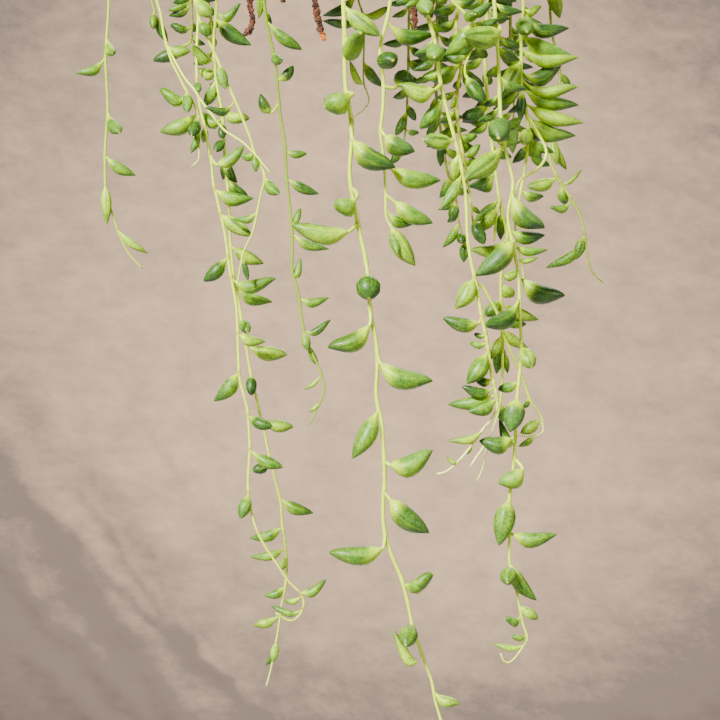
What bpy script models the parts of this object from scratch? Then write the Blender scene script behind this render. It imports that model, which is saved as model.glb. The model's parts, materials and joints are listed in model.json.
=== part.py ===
"""Hanging pot of a trailing succulent with fleshy, boat-shaped beads for leaves.

Run with: blender --background --python part.py
Each leafy stem is laid out from hand-read points, its beads are given room from their neighbours,
and stem and beads are fused into one solid.
Sizes and tables are in millimetres and the objects in metres, +Z up. The origin is the point
where the hook bears on what it hangs from. X runs to the viewer's right and Y away from the viewer.
"""

import math
import random

import bmesh
import bpy
import numpy as np

MM = 0.001
GAP = 0.3

# Pot, soil and hanger, in millimetres
POT_RIM_Z = -300.0
POT_HEIGHT = 120.0
POT_RIM_RADIUS = 84.0
POT_BASE_RADIUS = 60.0
POT_WALL = 2.0
POT_FLOOR = 2.5
FLANGE_RADIUS = 91.0
FLANGE_THICKNESS = 2.5
POT_STEPS = 32
DRAIN_HOLES = 6
DRAIN_RADIUS = 6.0
DRAIN_CIRCLE = 40.0
DRAIN_START = 30.0
SOIL_BELOW_RIM = 12.0
SOIL_CROWN = 2.5
SOIL_SHOULDER = 62.0
WIRE_RADIUS = 1.25
WIRE_CIRCLE = 87.0
WIRE_ANGLES = (15.0, 135.0, 255.0)
WIRE_HOLE_RADIUS = 2.0
WIRE_HOOK_RADIUS = 3.0
WIRE_HOOK_RISE = 1.0
FERRULE_TOP = -45.0
FERRULE_LENGTH = 16.0
FERRULE_RADIUS = 6.0
FERRULE_WIRE_CIRCLE = 3.4
FERRULE_WIRE_DEPTH = 4.0
HOOK_WIRE = 2.0
HOOK_BEND = 15.0
HOOK_JOIN_ANGLE = 66.0
HOOK_END_ANGLE = 205.0
POT_BOTTOM_Z = POT_RIM_Z - POT_HEIGHT
SOIL_Z = POT_RIM_Z - SOIL_BELOW_RIM

# The view that the stems were read from: a level camera in front of the plant, at -Y.
# u runs right and v down from the photograph's top edge, in millimetres on the pot's axis plane.
VIEW_DISTANCE = 1000.0
VIEW_U = 6.45
VIEW_V = 154.8
PHOTO_TOP_Z = POT_BOTTOM_Z - 32.0
VIEW_Z = PHOTO_TOP_Z - VIEW_V

PHOTO_MARGIN = 1.0

# Leafy stems, in millimetres
STEM_RADIUS = 1.15
STEM_SAMPLE = 1.5
CLUMP_SIZE = 3
CLUMP_RADIUS = 52.0
CLUMP_SPREAD = 2.3
CLUMP_HOLE = 4.3
HOLE_DEPTH = 8.0
RIM_SPACING = 6.4
CLEARANCE = 0.55
RULE_SPACING = 27.0
RULE_LENGTH = (18.0, 25.0)
RULE_WIDTH = 0.33
RULE_SAG = 0.12
RULE_OUT = 0.86
RULE_ALONG = 0.3
RULE_FALL = (0.0, 0.0, -0.12)
RULE_SIZES = (1.0, 0.8)
RULE_JITTER = 0.15
RULE_TURN = 137.5
RULE_TURN_JITTER = 20.0
RULE_START = 22.0
RULE_END = 12.0
TUFT_START = 17.0
TUFT_SPACING = 6.5
TURN_TRIES = (0.0, 35.0, -35.0, 70.0, -70.0, 110.0, -110.0, 150.0)
DEPTH_TRIES = (0.0, 3.0, -3.0, 6.0, -6.0, 9.0, -9.0, 12.0, -12.0)
SHRINK_TRIES = (1.0, 0.85, 0.7)
LONGEST_BEAD = 29.0
SEED = 11
STEM_SIDES = 3
SECTION = 1.2
FUSE_TRIES = ((0.4, 1.0), (0.3, 0.98), (0.5, 1.02), (0.35, 0.95))
BEAD_SPHERES = 9
REACH = 10.0
BEAD_SIDES = 3
BIG_BEAD = 7.8
PROFILE_SMALL = ((0.34, 0.78), (0.7, 0.92))
PROFILE_BIG = ((0.24, 0.42), (0.5, 1.0), (0.8, 0.72))

# How a stem climbs out and over: part of the way to the rim, part of the turn, height over the rim
ARCH_LINE = ((0.1, 0.1, 0.0), (0.45, 0.4, 5.6), (0.85, 0.9, 7.0), (1.08, 1.0, 6.4))
ARCH_LIFT = 2.5
OVER_RADIUS = 95.5
OVER_SHARE = 0.3
OVER_LINE = ((-1.0, 2.4), (0.0, -6.0))
DROP_STEP = 36.0
WAVE = 1.2
LINE_TOLERANCE = 0.8
SPREAD_ROUNDS = 300
CLUMP_TURNS = (-120.0, 0.0, 120.0)
TUFT_HOLE = 2.4
TUFT_LINE = ((0.0, 0.0, -7.0), (0.0, 0.0, 6.0), (0.2, 3.0, 12.0), (0.6, 5.0, 14.5), (1.0, 2.0, 10.0))

# Facets and small fittings
WELD = 0.002
HOLE_SIDES = 8
WIRE_SIDES = 6
WIRE_BEND_STEPS = 5
WIRE_END_RISE = 3.5
WIRE_STRAIGHT = 3.0
FERRULE_SIDES = 12
HOOK_SIDES = 8
HOOK_STEPS = 5
HOOK_SEAT = 6.0
TAIL_RADIUS = 1.5
TAIL_HOLE = 2.2
TAIL_SWELL = (0.85, 1.35)
TAIL_MARGIN = 0.8
TAIL_SIDES = 5
TAIL_STEP = 5.0
TAIL_SEAT = 5.0

# Each run is a route of (u, v) points with its depth at both ends, and its beads as
# (u, v at the root, u, v at the tip, depth of the tip from the root, width, sag).
# A run with start "soil" climbs out of the pot; any other name is the node that it branches from.
RUNS = []


def run(node, start, depths, route, beads, radius=STEM_RADIUS):
    """Note one run of stem and the beads that were read along it."""
    RUNS.append({"node": node, "start": start, "depths": depths, "route": route,
                 "beads": beads, "radius": radius})


run("stem_far_left", "soil", (0, 0),
    [(-101.5, -6), (-101.7, 4), (-102.3, 14), (-103, 25), (-102.4, 37), (-102, 48), (-102.6, 56),
     (-103.2, 66), (-103, 80), (-101.8, 86), (-100, 92), (-97, 101), (-93, 109), (-89.5, 113),
     (-87, 115.5)],
    [(-101.5, -8, -89.5, -4, 0, 7, 4), (-102.4, 16, -99.8, 23.5, -13, 5, 3),
     (-103, 24, -115.7, 31.9, -2, 5.2, 3), (-102, 48, -96.8, 57.5, -12, 6, 2),
     (-103.2, 66.5, -90, 75.8, 0, 5.6, 1), (-103, 79, -102.3, 97, -3, 4.6, 0),
     (-98, 98, -84.7, 109.2, 0, 4.2, 1)])

run("stem_left_back", "soil", (45, 45),
    [(-85.5, -10), (-83.3, 0), (-81.5, 6)],
    [(-81.8, 5, -82.4, 12.8, -4, 4, 0), (-81.5, 6, -76.4, 18.2, 1, 5, 0)])

run("stem_left_front", "soil", (-74, -82),
    [(-82, -6), (-81, 0), (-79.3, 6), (-78, 14), (-76.5, 20), (-74.7, 26), (-71.8, 32), (-69.3, 37),
     (-67, 41), (-64.8, 45), (-63.2, 50), (-62.6, 57), (-62.8, 64), (-63.1, 69), (-66, 71.5)],
    [(-76.5, 19.5, -66.3, 22.3, -1, 4.8, 1.5), (-67.8, 39, -67.8, 49, -6, 4.6, 0),
     (-66.8, 41.5, -80, 38.4, 2, 6.8, 4), (-63.8, 48, -79.7, 57.3, 0, 7.4, 1),
     (-63, 51, -66.1, 58.5, -6, 5.2, 0), (-62.7, 56, -66.3, 66.2, -2, 3.4, 0)])

run("stem_left_front", "branch", (-78.5, -99),
    [(-76.5, 20), (-73.8, 25), (-71.6, 29), (-69.3, 33), (-67, 36), (-64.6, 38.7), (-62.8, 42),
     (-60.3, 45.3), (-57.5, 49), (-54.5, 53), (-51.5, 56.3), (-48, 58.6), (-44, 61.2), (-41, 64),
     (-38.5, 66.6), (-36, 69.6), (-32, 74.6)],
    [], 1.0)

run("stem_left_behind", "soil", (66, 66),
    [(-66, -6), (-66, 4), (-65.7, 10), (-66.2, 18), (-65.2, 24)],
    [(-66, -3, -74, 1.6, 2, 5, 1), (-66, 1, -76.4, 4.7, 0, 3.4, 1), (-65.8, 10.5, -75.4, 10.8, 0, 6, 2),
     (-66.2, 18.5, -82.9, 26.4, -2, 7, 1)])

run("stem_left_slant", "soil", (-91, -93),
    [(-65.2, -6), (-64.5, 0), (-63.5, 5), (-62.3, 9), (-60.4, 14), (-58.4, 18), (-56, 23), (-54, 27.5),
     (-52, 32), (-50, 37), (-48, 41.5), (-46, 46), (-44, 51), (-42, 56), (-40.5, 60), (-39.3, 64.5),
     (-37.4, 69), (-35.6, 72.5), (-34.5, 76.5), (-36, 83), (-37.5, 90), (-38.7, 96), (-40.2, 101),
     (-42.2, 105), (-43.8, 109), (-45.2, 115.5), (-46.5, 123)],
    [(-64.4, 0, -57.2, 7.4, -3, 7, 0), (-62.8, 8, -58.3, 15.6, -3, 6, 0),
     (-54.2, 27, -51.4, 38.6, -2, 4.8, 0), (-48, 42, -60.5, 46.6, 2, 4, 4),
     (-39, 65, -44.4, 67.7, -3, 4.6, 1), (-38.8, 66, -38.2, 74.2, -2, 2.8, 0),
     (-34.6, 76, -28.2, 84.2, -9, 5, 1), (-37.8, 91, -48.1, 94.6, 3, 3.6, 2),
     (-44.2, 110, -41.6, 120.8, 0, 2.4, 0)])

run("stem_left_dark", "soil", (80, 76),
    [(-59.5, -6), (-58.5, 3), (-57.6, 9), (-57, 15), (-56.7, 21), (-56.3, 28), (-55.5, 35),
     (-55, 41), (-54.3, 46)],
    [(-57.5, 9, -52.4, 10.8, 3, 4.2, 1), (-55.3, 37, -58, 36, -4, 3, 1)])

run("stem_low_left", "soil", (-75, -95),
    [(-64, -6), (-63.2, 6), (-63.4, 14), (-63.8, 22), (-63.8, 30), (-63.5, 37), (-63, 42), (-61.9, 48),
     (-60.4, 54), (-59.4, 59), (-58.4, 65), (-57.2, 71.5), (-56.7, 78), (-55.3, 84), (-53.5, 92),
     (-51.7, 100), (-50.3, 110), (-49.5, 116), (-48.5, 121.5), (-47.4, 127), (-46.6, 133),
     (-46.2, 141), (-45.9, 151), (-45.5, 161), (-44.6, 166), (-43.2, 171), (-41.8, 177), (-41.2, 186),
     (-40.9, 193), (-41.4, 201), (-41.7, 209), (-40.8, 217), (-39.3, 224), (-36.8, 230.5),
     (-34, 235.5), (-31, 240), (-28, 244.5), (-25, 249), (-22, 252.3), (-20, 254), (-18.4, 256.3),
     (-17.7, 259.5), (-18.4, 262.5), (-20, 265), (-22.5, 266.8), (-25, 266.6), (-27.5, 265),
     (-29.8, 263.6)],
    [(-63.7, 34, -63, 40, -7, 3.6, 0), (-60.5, 54, -60.8, 61.6, -3, 3.4, 0),
     (-57.6, 67, -43.1, 62.8, -4, 5, 6), (-56, 81, -39.2, 86, -2, 6.8, 1.5),
     (-53.2, 93, -39.6, 102, -3, 6.2, 0), (-50.4, 110, -60.7, 121.3, 0, 6.6, 0),
     (-48.8, 120, -29.4, 120, -3, 6.6, 3.5), (-46, 143, -34.2, 147.4, 2, 4.8, 1),
     (-45.6, 160, -56.2, 173.2, -1, 6.8, 0), (-41.5, 179, -31.2, 184, -4, 6.2, 1),
     (-40.9, 192.5, -26.6, 201.4, -3, 5.6, 1), (-41.8, 211, -45, 223.4, -4, 5.4, 0),
     (-20, 254, -7.6, 249.5, 0, 4.6, 2), (-18.5, 256.5, -26, 258.9, 3, 3, 1),
     (-18.2, 261.5, -32.1, 260.8, 3, 3.2, 2.5), (-28.8, 264.3, -39.6, 269, 0, 4.4, 1)])

run("stem_low_left_inner", "soil", (-80, -68),
    [(-55.5, -6), (-55.2, 2), (-55.8, 10), (-56.4, 17), (-56.2, 25), (-55.6, 32), (-54.6, 39),
     (-53.3, 46), (-52.4, 53), (-52, 60), (-51.7, 67), (-51, 75), (-50.2, 83), (-49.7, 92),
     (-49.4, 101), (-48.9, 109), (-48, 117), (-46.9, 124), (-45.5, 131), (-44.4, 138), (-43, 145),
     (-42, 152), (-40.8, 159), (-39, 167), (-37.3, 175), (-35.2, 183), (-33.8, 190), (-32.2, 197.5),
     (-30.5, 204.5), (-28.8, 211), (-27.5, 217), (-27, 225), (-25.9, 232.5), (-25.2, 240),
     (-25.1, 247), (-26, 254), (-27.4, 260.5), (-28.2, 267), (-29.3, 274), (-30.5, 281), (-32.2, 289),
     (-33.8, 295)],
    [(-55.3, 5, -44.4, 1.8, -1, 4.8, 4), (-55.6, 8, -40.4, 20.1, -3, 7.2, 0),
     (-56.2, 25, -66.1, 19.4, -3, 5, 3), (-55.6, 31, -62.8, 29.8, 3, 5, 2),
     (-55.2, 34, -60.2, 45.8, 2, 5.2, 0), (-53, 48, -41, 51.2, -2, 6.2, 2),
     (-52.8, 50, -62.2, 48.8, 3, 5.6, 3),
     (-52.4, 53, -53, 59.8, -4, 4.2, 0), (-51.9, 60, -55.8, 65, -4, 4.8, 0),
     (-51.6, 67, -52.4, 77.6, 4, 3.8, 0), (-51.4, 70, -46.7, 79, 2, 4.8, 0),
     (-50.8, 77, -41.6, 84.7, 3, 5, 1), (-49.2, 106, -34.9, 113.7, 2, 6.4, 0),
     (-47, 123, -31.2, 130.3, 1, 5.8, 2.5), (-44.4, 138, -41.7, 143.2, -8, 5.2, 0),
     (-42.6, 148, -24.7, 152.8, 0, 6.4, 1.5), (-40.8, 160, -40.2, 170.2, -4, 5.2, 0),
     (-35.6, 181, -22.1, 183.8, 1, 5.6, 1), (-32, 198, -39.8, 202.8, -3, 5.6, 1),
     (-28, 213.5, -13.6, 221, 0, 5.8, 1), (-27, 226, -41.1, 231.8, 3, 5.4, 1),
     (-25.7, 236, -41.1, 240, 3, 4.6, 1), (-25.2, 240, -27.5, 245, -5, 3.8, 0),
     (-25.9, 252, -34.8, 256.7, 0, 4.4, 1), (-29.5, 276, -31, 285.2, -3, 3.4, 0),
     (-30.3, 280, -34, 286.2, 2, 2.4, 0)])

run("stem_back_soft", "soil", (88, 84),
    [(-35.4, -8), (-34.8, 0), (-34, 7), (-32.5, 15), (-31, 22), (-29.6, 30), (-28.8, 40), (-27.7, 50),
     (-26, 60), (-25.5, 70), (-24.8, 80), (-23.7, 89), (-22.8, 99), (-22.6, 108), (-22.8, 116.5),
     (-21, 122.5), (-19.5, 129), (-18.8, 135), (-17.7, 142), (-16, 147.5), (-13.4, 153.5),
     (-11.2, 158), (-9.8, 162.5), (-8.7, 167), (-9.8, 170.8), (-11.7, 175), (-13.4, 179), (-15.8, 182.8)],
    [(-35.2, -7, -37, 8.2, 2, 4.8, 0), (-34.2, 4, -31.5, 10.4, 3, 3.2, 0),
     (-33.6, 9, -18.5, 21.7, -1, 7, 1), (-30.8, 23, -27.4, 27, -9, 5.2, 1),
     (-29.3, 32.5, -21.7, 28, 0, 5.6, 5), (-28.4, 44, -36.1, 42.2, 0, 6.2, 9),
     (-25.8, 64, -16.3, 66.2, 0, 5.2, 1.5), (-25, 77, -11.1, 83.7, 0, 5.6, 0),
     (-23, 95, -19, 89.5, 2, 4.2, 3),
     (-22.8, 100.5, -6.7, 107.6, 2, 5.4, 2), (-22.7, 117.5, -18.8, 111, 2, 4.2, 4),
     (-19.5, 129, -6.6, 128.4, 0, 5.2, 2), (-17.9, 141.3, -5.8, 137.5, 0, 4.6, 3),
     (-17.7, 142, -16, 151, -3, 4.2, 0), (-15.6, 148.5, -11.4, 157.6, 3, 3.8, 0),
     (-10.2, 161.4, -17.8, 167.9, 0, 2.8, 1), (-11, 173, -15.6, 177.4, 0, 2.6, 0)])

run("stem_front", "soil", (-97, -99),
    [(-1, -6), (-0.6, 3), (-0.3, 12), (-0.3, 22), (0, 32), (0.4, 38.5), (1.8, 46), (2.9, 53), (2.8, 62),
     (2.2, 69), (2.1, 76.5), (3.2, 84), (4.8, 92), (6.4, 100.5), (8.4, 109), (9.7, 118), (10.2, 126),
     (11, 134.5), (12.6, 143), (13.8, 151), (13.9, 159), (13.4, 169), (14.2, 175), (15.7, 181),
     (16.3, 190), (16.9, 198), (17, 207), (16.4, 217), (16.7, 226), (18.3, 233.5), (21, 241),
     (24, 248), (25.8, 254), (27.6, 262), (29, 269), (32, 278), (34.6, 285.5), (37.3, 293),
     (39, 302), (41.3, 310), (43.2, 318), (44.8, 327), (45.5, 336)],
    [(-0.6, 1.5, 15.3, 15.9, -4, 7.4, 1), (-0.3, 10, 7, 14.4, -14, 9.4, 12),
     (0.5, 38.8, -9.4, 45.7, -9, 9.6, 5), (1.6, 45, -9.5, 43, 6, 4.2, 2), (2.9, 51, 22, 72, -3, 9.2, 3),
     (2.9, 81.5, -4.9, 89.6, -7, 9.6, 8), (5.7, 96, -24, 97, -4, 8.2, 8),
     (9, 112.5, 10.2, 125, -17, 9.4, 1), (10.9, 133.5, -8.1, 150, -3, 8.2, 1),
     (13.9, 152, 38, 164.1, -3, 9.2, 4), (14.8, 177, 3.1, 197.7, -4, 8.2, 0),
     (17, 198, 38.1, 193.7, 0, 8.2, 6), (16.8, 210.5, 36.1, 229.7, 0, 9.4, 2),
     (17, 229, -7.7, 238.2, -2, 7.6, 4), (24.6, 249.5, 38.2, 246.9, -4, 7.6, 4),
     (28.8, 268.5, 26, 277.6, -13, 8.4, 0), (33, 280.3, 20.1, 271, 4, 4.8, 8),
     (38.2, 297, 49.5, 303, -3, 5, 2), (41.5, 311, 32, 320, -4, 5.4, 2), (44, 322.5, 53.5, 331, 0, 4.4, 1)])

run("stem_front_short", "soil", (-95, -93),
    [(20.2, -6), (19.4, 1), (18.4, 7), (17, 12.5), (15.7, 17.5), (15.1, 22.5), (15.8, 29), (16.6, 37),
     (16.4, 45), (15.7, 52), (15.2, 57), (16, 63), (16.8, 70), (17.2, 78), (17.5, 86), (17.7, 93.5),
     (19.8, 97.3), (21.5, 99.6)],
    [(18.5, 8, 38.6, 15.6, 3, 7.8, 4), (15.2, 23, 20.8, 26, -12, 9.2, 1), (16.6, 37, 27.7, 30.2, 1, 7.4, 7),
     (15.3, 56.5, 29.5, 66.4, -4, 8.6, 2), (16.7, 68.5, 41.4, 77.8, 3, 8, 3),
     (17.4, 83, 38.1, 96.6, 0, 7, 2),
     (17.6, 88, 30.5, 96.2, 6, 5.6, 3), (19.8, 97.3, 30, 114.7, -3, 8.2, 0),
     (20.4, 98.4, 22.7, 109.6, -7, 4.6, 0)])

run("stem_back_twin", "soil", (90, 88),
    [(27.8, -6), (27.5, 8), (27.3, 20), (27.2, 31), (26.8, 42), (26.4, 52), (25.4, 60), (23.5, 66)],
    [(27.3, 20, 35.5, 23.5, 0, 4.8, 1), (27.2, 26, 36, 26, 4, 3.8, 1), (26.7, 45, 30.4, 52, 0, 5.2, 0),
     (26.6, 47, 21.8, 58.6, -2, 4.8, 0), (26, 56, 31.9, 57.2, 0, 4.2, 1),
     (24.4, 63, 19.5, 70.6, 0, 4.4, 0)])

run("stem_back_curl", "soil", (97, 94),
    [(4.9, -6), (6, 1), (7.6, 6), (8.2, 16), (8, 27), (8.1, 36), (9.6, 40), (10.3, 43.5), (8.4, 46.8),
     (4, 50)],
    [(5.1, -3, -9.5, 7.4, -3, 6, 2), (7.5, 5.5, 19.5, 3.2, 0, 4.8, 3), (7.8, 8, -9.6, 9.2, 2, 5.2, 2),
     (8, 27, 16.4, 38, 0, 5.8, 0), (8, 37, 1.8, 26, 0, 4.2, 3)], 0.9)

run("stem_right_front", "soil", (-93, -97),
    [(31.8, -6), (33.5, 1), (35.3, 6), (37.2, 12), (38.6, 17), (39.5, 22), (40.2, 29), (41.2, 36),
     (42.5, 42), (44.2, 48.5), (46.1, 55.5), (48, 62.5), (49.6, 69), (50.8, 76), (51.8, 84),
     (52.3, 91.5), (52.5, 99), (53.3, 107), (54.7, 115), (56.4, 122), (57.6, 129.5), (59, 137),
     (60.8, 145), (61.7, 151.5), (62.6, 158.5), (64.3, 166), (65.3, 171.5), (65.1, 176), (62.9, 180.2),
     (59.9, 183.9), (57.2, 187.5), (54, 192), (50.4, 196.6), (46.6, 200.4), (43, 203), (39.4, 203.8)],
    [(33.2, 0, 35.8, 5.2, -10, 7.8, 0), (32.6, -2, 25.6, 3.2, -2, 3.4, 0),
     (39.3, 20.5, 38.5, 24.8, -13, 8.6, 0), (41.2, 36, 22.8, 36, -3, 8, 9),
     (40.7, 32, 33.2, 33.4, 4, 4.8, 1), (42.6, 42, 32.2, 55.7, 2, 7, 0), (47.2, 59.5, 33.4, 60, -5, 8, 1),
     (48.6, 65, 47, 79, 3, 5.4, 0), (50.6, 74.5, 41.1, 90.2, -4, 5.8, 0),
     (55.8, 119, 47.6, 133.3, -3, 7.4, 0), (58.8, 136, 41.2, 137.2, 1, 6.8, 3),
     (60.5, 143.5, 55.4, 143.7, 4, 3, 1), (61, 146.5, 53.6, 147.7, 3, 4, 1),
     (61.7, 151, 52.5, 165.5, -4, 7.6, 0), (63.2, 162, 55.5, 163, 4, 5.2, 2),
     (64.2, 165.5, 49.7, 166.5, -2, 5.8, 3), (64.9, 169, 44, 174.3, 3, 6.2, 1),
     (65.3, 172, 52.9, 177.5, -4, 6.6, 1), (60.6, 183, 43.9, 190.1, -1, 4, 3),
     (55.3, 190.2, 51.3, 195.8, 2, 2.4, 0), (49.6, 197.5, 43.3, 196.2, -1, 2.2, 1.5)])

run("stem_right_front", "branch", (-94, -88),
    [(56.2, 121.5), (58.4, 122.6), (60.3, 125), (62.3, 128.6), (64.5, 132.6), (66.2, 136.4), (67.1, 141)],
    [], 0.9)

run("stem_right_cross", "soil", (-99, -92),
    [(42, -7), (46, 0), (50, 4.2), (53, 7.4), (55.6, 10.6), (56.6, 15), (55.2, 19.5), (53.2, 24),
     (51.6, 28.5), (51.8, 33.5)],
    [(51.8, 6, 56.3, 6.2, -8, 6.2, 1), (55.2, 10, 43.2, 24.9, -2, 8.2, 0),
     (56.4, 13, 47.1, 25.4, 4, 6.6, 0),
     (51.7, 32, 60.1, 44.1, -3, 7.6, 1)])

run("stem_right_second", "soil", (-86, -84),
    [(49.5, -6), (48.8, 3), (47.9, 10), (48.3, 18), (49.6, 25), (49.9, 30), (48.7, 36), (48, 43),
     (48.3, 50), (49.1, 57), (50.3, 64), (51.7, 71), (52.8, 78), (53.9, 85.5), (54.7, 93), (55.4, 97.5)],
    [(49.8, 27, 33.1, 33.3, 3, 8, 2), (49.6, 28, 59.8, 37.6, 3, 6.4, 2), (48.1, 41, 45.3, 47.2, 0, 2.8, 0),
     (49.2, 57, 57, 58.7, 2, 4.8, 2), (50.4, 66, 58.2, 62.2, 1, 4.6, 2), (51, 68.5, 57.5, 69, 2, 4.8, 2),
     (54.2, 88, 58, 91.8, 2, 3, 0), (54.9, 94.5, 59.9, 105.2, -4, 6.2, 0)])

run("stem_right_olive", "soil", (88, 84),
    [(39.5, -6), (39.7, 4), (39.6, 15), (39.1, 26), (39.1, 38), (40, 47), (41.3, 57), (42.6, 66),
     (44.1, 74), (46.2, 80.6), (47.8, 86.5), (48.4, 92), (49.4, 97.5), (51.6, 103.4)],
    [(39.7, -2, 43.6, 14.2, 0, 6.2, 0), (39.3, 23, 29.3, 23, 0, 4.8, 1), (40.6, 51, 35, 58.4, 0, 5.2, 0),
     (41.9, 60.5, 41, 71.8, 0, 4.6, 0), (44.7, 76, 40.9, 85.5, 0, 5.2, 0), (47.9, 87, 45.8, 95.2, 0, 6, 0),
     (49, 95.5, 42.1, 106.9, 0, 4.8, 0), (50.3, 100, 50, 104, -7, 5.8, 0), (51.5, 103, 51, 113, 0, 4.8, 0)])

run("stem_right_inner", "soil", (-74, -78),
    [(61, -6), (61, 8), (60.6, 16), (60.2, 25), (60.6, 34), (61.4, 43), (62, 51), (62.9, 59), (63.8, 67),
     (64.6, 73.5), (65.4, 79), (66.4, 86), (68, 93), (69.5, 99), (69.8, 104), (68.8, 110), (67.4, 116),
     (67, 123), (67.2, 131), (67.5, 139), (67.6, 147), (67.8, 156), (67.5, 165), (66.8, 173),
     (65.3, 179.5), (63.2, 185.5), (61.5, 190), (60.3, 196), (58.9, 202), (56.8, 206.8)],
    [(61.6, 45, 50, 51.4, -3, 7.6, 2), (62, 49.5, 52.9, 52.5, 3, 5.6, 2), (64.5, 74, 53.9, 81, 3, 6.2, 4),
     (66.3, 86, 55.7, 95.3, 0, 5.2, 0), (66.7, 88, 57.3, 99.7, -3, 5.6, 0),
     (67.4, 91, 66.8, 103.2, 3, 4.8, 0),
     (69.8, 101.5, 53.8, 108, -3, 6.2, 4), (67.2, 118, 75, 117, 3, 5, 1.5),
     (67.1, 121, 72.7, 127.5, 3, 6.4, 1),
     (67.2, 129, 60.3, 136, -3, 6.4, 0), (67.3, 131, 83.3, 137.8, 4, 5.6, 0),
     (67.5, 137, 78, 139.6, 6, 4.6, 1), (67.6, 142.5, 78.7, 150.2, 3, 5, 0),
     (67.6, 144, 61.9, 155.2, -3, 4.2, 0),
     (67.7, 148, 65, 160.8, 3, 5.4, 0), (67.8, 150, 70, 160.6, 3, 3.2, 0),
     (66.9, 172, 67.6, 182.2, 3, 3.6, 0)])

run("stem_right_inner", "branch", (-78, -76),
    [(66, 85.5), (65.5, 91), (64.7, 97), (64.1, 103.6)],
    [], 0.9)

run("stem_right_inner", "branch", (-79, -75),
    [(67.6, 143), (70.3, 149), (73, 155), (75.7, 161), (77.2, 165), (78.6, 169.3), (80, 172.9),
     (82.2, 176), (84.3, 179), (85, 182.4), (85.3, 185.4), (82.5, 187.4), (78, 187.8), (74.5, 187)],
    [(79.4, 171.5, 77, 175.8, -2, 2.4, 1), (84.3, 179.2, 75.4, 186.5, 0, 5, 0),
     (81.5, 187.5, 74.5, 192.2, 1, 3.2, 0)], 0.9)

run("stem_right_inner", "branch", (-79, -82),
    [(63.2, 185.5), (60, 191.5), (56.6, 196.5), (53.6, 200.8)],
    [], 0.8)

run("stem_right_long", "soil", (-88, -92),
    [(63.6, -6), (64.6, 6), (65.3, 16), (66, 27), (66.4, 38), (66.9, 49), (67.8, 58.5), (69.4, 66),
     (71, 72), (72.2, 78), (71.8, 83.5), (70.5, 89), (70.2, 95), (71.4, 101.5), (73, 109), (74.4, 117),
     (75, 125), (75.2, 135), (75.7, 145), (75.7, 154), (74.8, 163.5), (74, 172), (73.6, 181.5),
     (73.1, 191), (72.6, 199), (71.7, 207), (70.8, 214), (71, 224), (70.7, 234), (70.8, 241.5),
     (72.2, 248.5), (74, 255.5), (75.4, 262.5), (76.6, 268.5), (78.4, 274.2), (76.6, 278),
     (73.8, 282), (70.8, 284.9), (68.4, 284.4), (66.9, 280.8)],
    [(65, 9.5, 50.1, 15.4, -6, 9.4, 2), (67.2, 52, 66, 59.6, -16, 10.4, 0),
     (68.2, 61.5, 51.1, 77.7, -4, 8.6, 2),
     (71.9, 82.5, 86.1, 98.3, -6, 10.4, 2), (71, 99, 86.1, 101.5, 4, 6.4, 2),
     (72.6, 106, 87.3, 107.8, 3, 4.2, 1),
     (73.3, 110.5, 83.3, 110.8, 2, 2.6, 1), (72, 103.5, 55.8, 118.8, -5, 9.4, 0),
     (75.1, 128, 59.9, 141, -4, 7.6, 4), (75.8, 149.5, 80.6, 158.2, -8, 7.6, 0),
     (74.6, 164, 65.7, 167.7, 3, 5.2, 1), (73.9, 172, 69.6, 184.8, -10, 9, 0),
     (73.2, 187.5, 65.9, 180.7, 4, 4.8, 6), (73.2, 188.5, 57.1, 189.8, -3, 7.6, 5),
     (72.8, 197.5, 65.3, 208.1, -4, 8.4, 7), (70.8, 214.5, 66.1, 235, -4, 8.4, 0),
     (70.7, 230, 91.4, 230.4, -2, 7, 2), (71.4, 245, 69.8, 250.6, -11, 7.8, 0),
     (70.8, 241.5, 82, 258.8, 0, 7, 1), (74.9, 260, 83.1, 266.3, -1, 5, 0),
     (75.7, 264.5, 68.8, 266.1, -3, 5, 3),
     (78.1, 274, 71.3, 273.7, -2, 3.6, 1), (77.6, 276, 63, 276.9, 2, 3.2, 2)])

run("stem_right_fan", "soil", (-62, -68),
    [(76.6, -6), (76.6, 4), (75.6, 14), (75.9, 24), (75.6, 33), (76.5, 41), (78, 48), (79, 56), (78.6, 64),
     (77.6, 71), (76, 80), (74.4, 89), (73.2, 97), (74, 104), (75.5, 111.5), (76.9, 119.5)],
    [(76.6, 3, 84.5, 2.8, 2, 4.8, 3), (76, 8, 78.3, 13.8, -13, 8.4, 0), (76, 9, 96.5, 12.6, 3, 7, 3),
     (75.7, 14.5, 97.6, 24.8, -2, 8.6, 1), (75.9, 21.5, 100.6, 25.4, -5, 6.8, 3),
     (75.9, 24, 66, 21.2, 4, 8.2, 3), (75.8, 27, 66.7, 42.4, -5, 7.6, 0), (75.7, 30, 95.4, 25.1, 3, 8.4, 6),
     (75.8, 34, 100.5, 37.6, -5, 5.8, 5), (75.9, 36, 67.8, 43.2, 4, 5.2, 1),
     (76, 37, 100.6, 45.7, 2, 7.2, 3),
     (76.3, 39.5, 75.4, 52.4, -3, 4.2, 0), (77.2, 44, 102.7, 53.3, -5, 7.2, 2),
     (78.2, 49, 99, 59.3, 1, 8.6, 3),
     (79, 54.5, 77, 62.2, -7, 6.6, 0), (78.9, 59, 84.2, 70, 3, 6, 0), (78.6, 63, 72, 70.4, 2, 4.6, 0),
     (75.7, 81, 85.5, 84.7, 4, 5.2, 1), (76.8, 119, 94.8, 128.6, -3, 9.6, 5)])

run("stem_right_fan", "branch", (-67, -76),
    [(78.4, 49.5), (81.2, 53.6), (83.8, 58.6), (86, 62.8), (86.6, 66.6), (84.6, 70.7), (80.6, 74.1),
     (76, 76.8), (73.8, 80.5), (73.2, 85)],
    [], 1.0)

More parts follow.
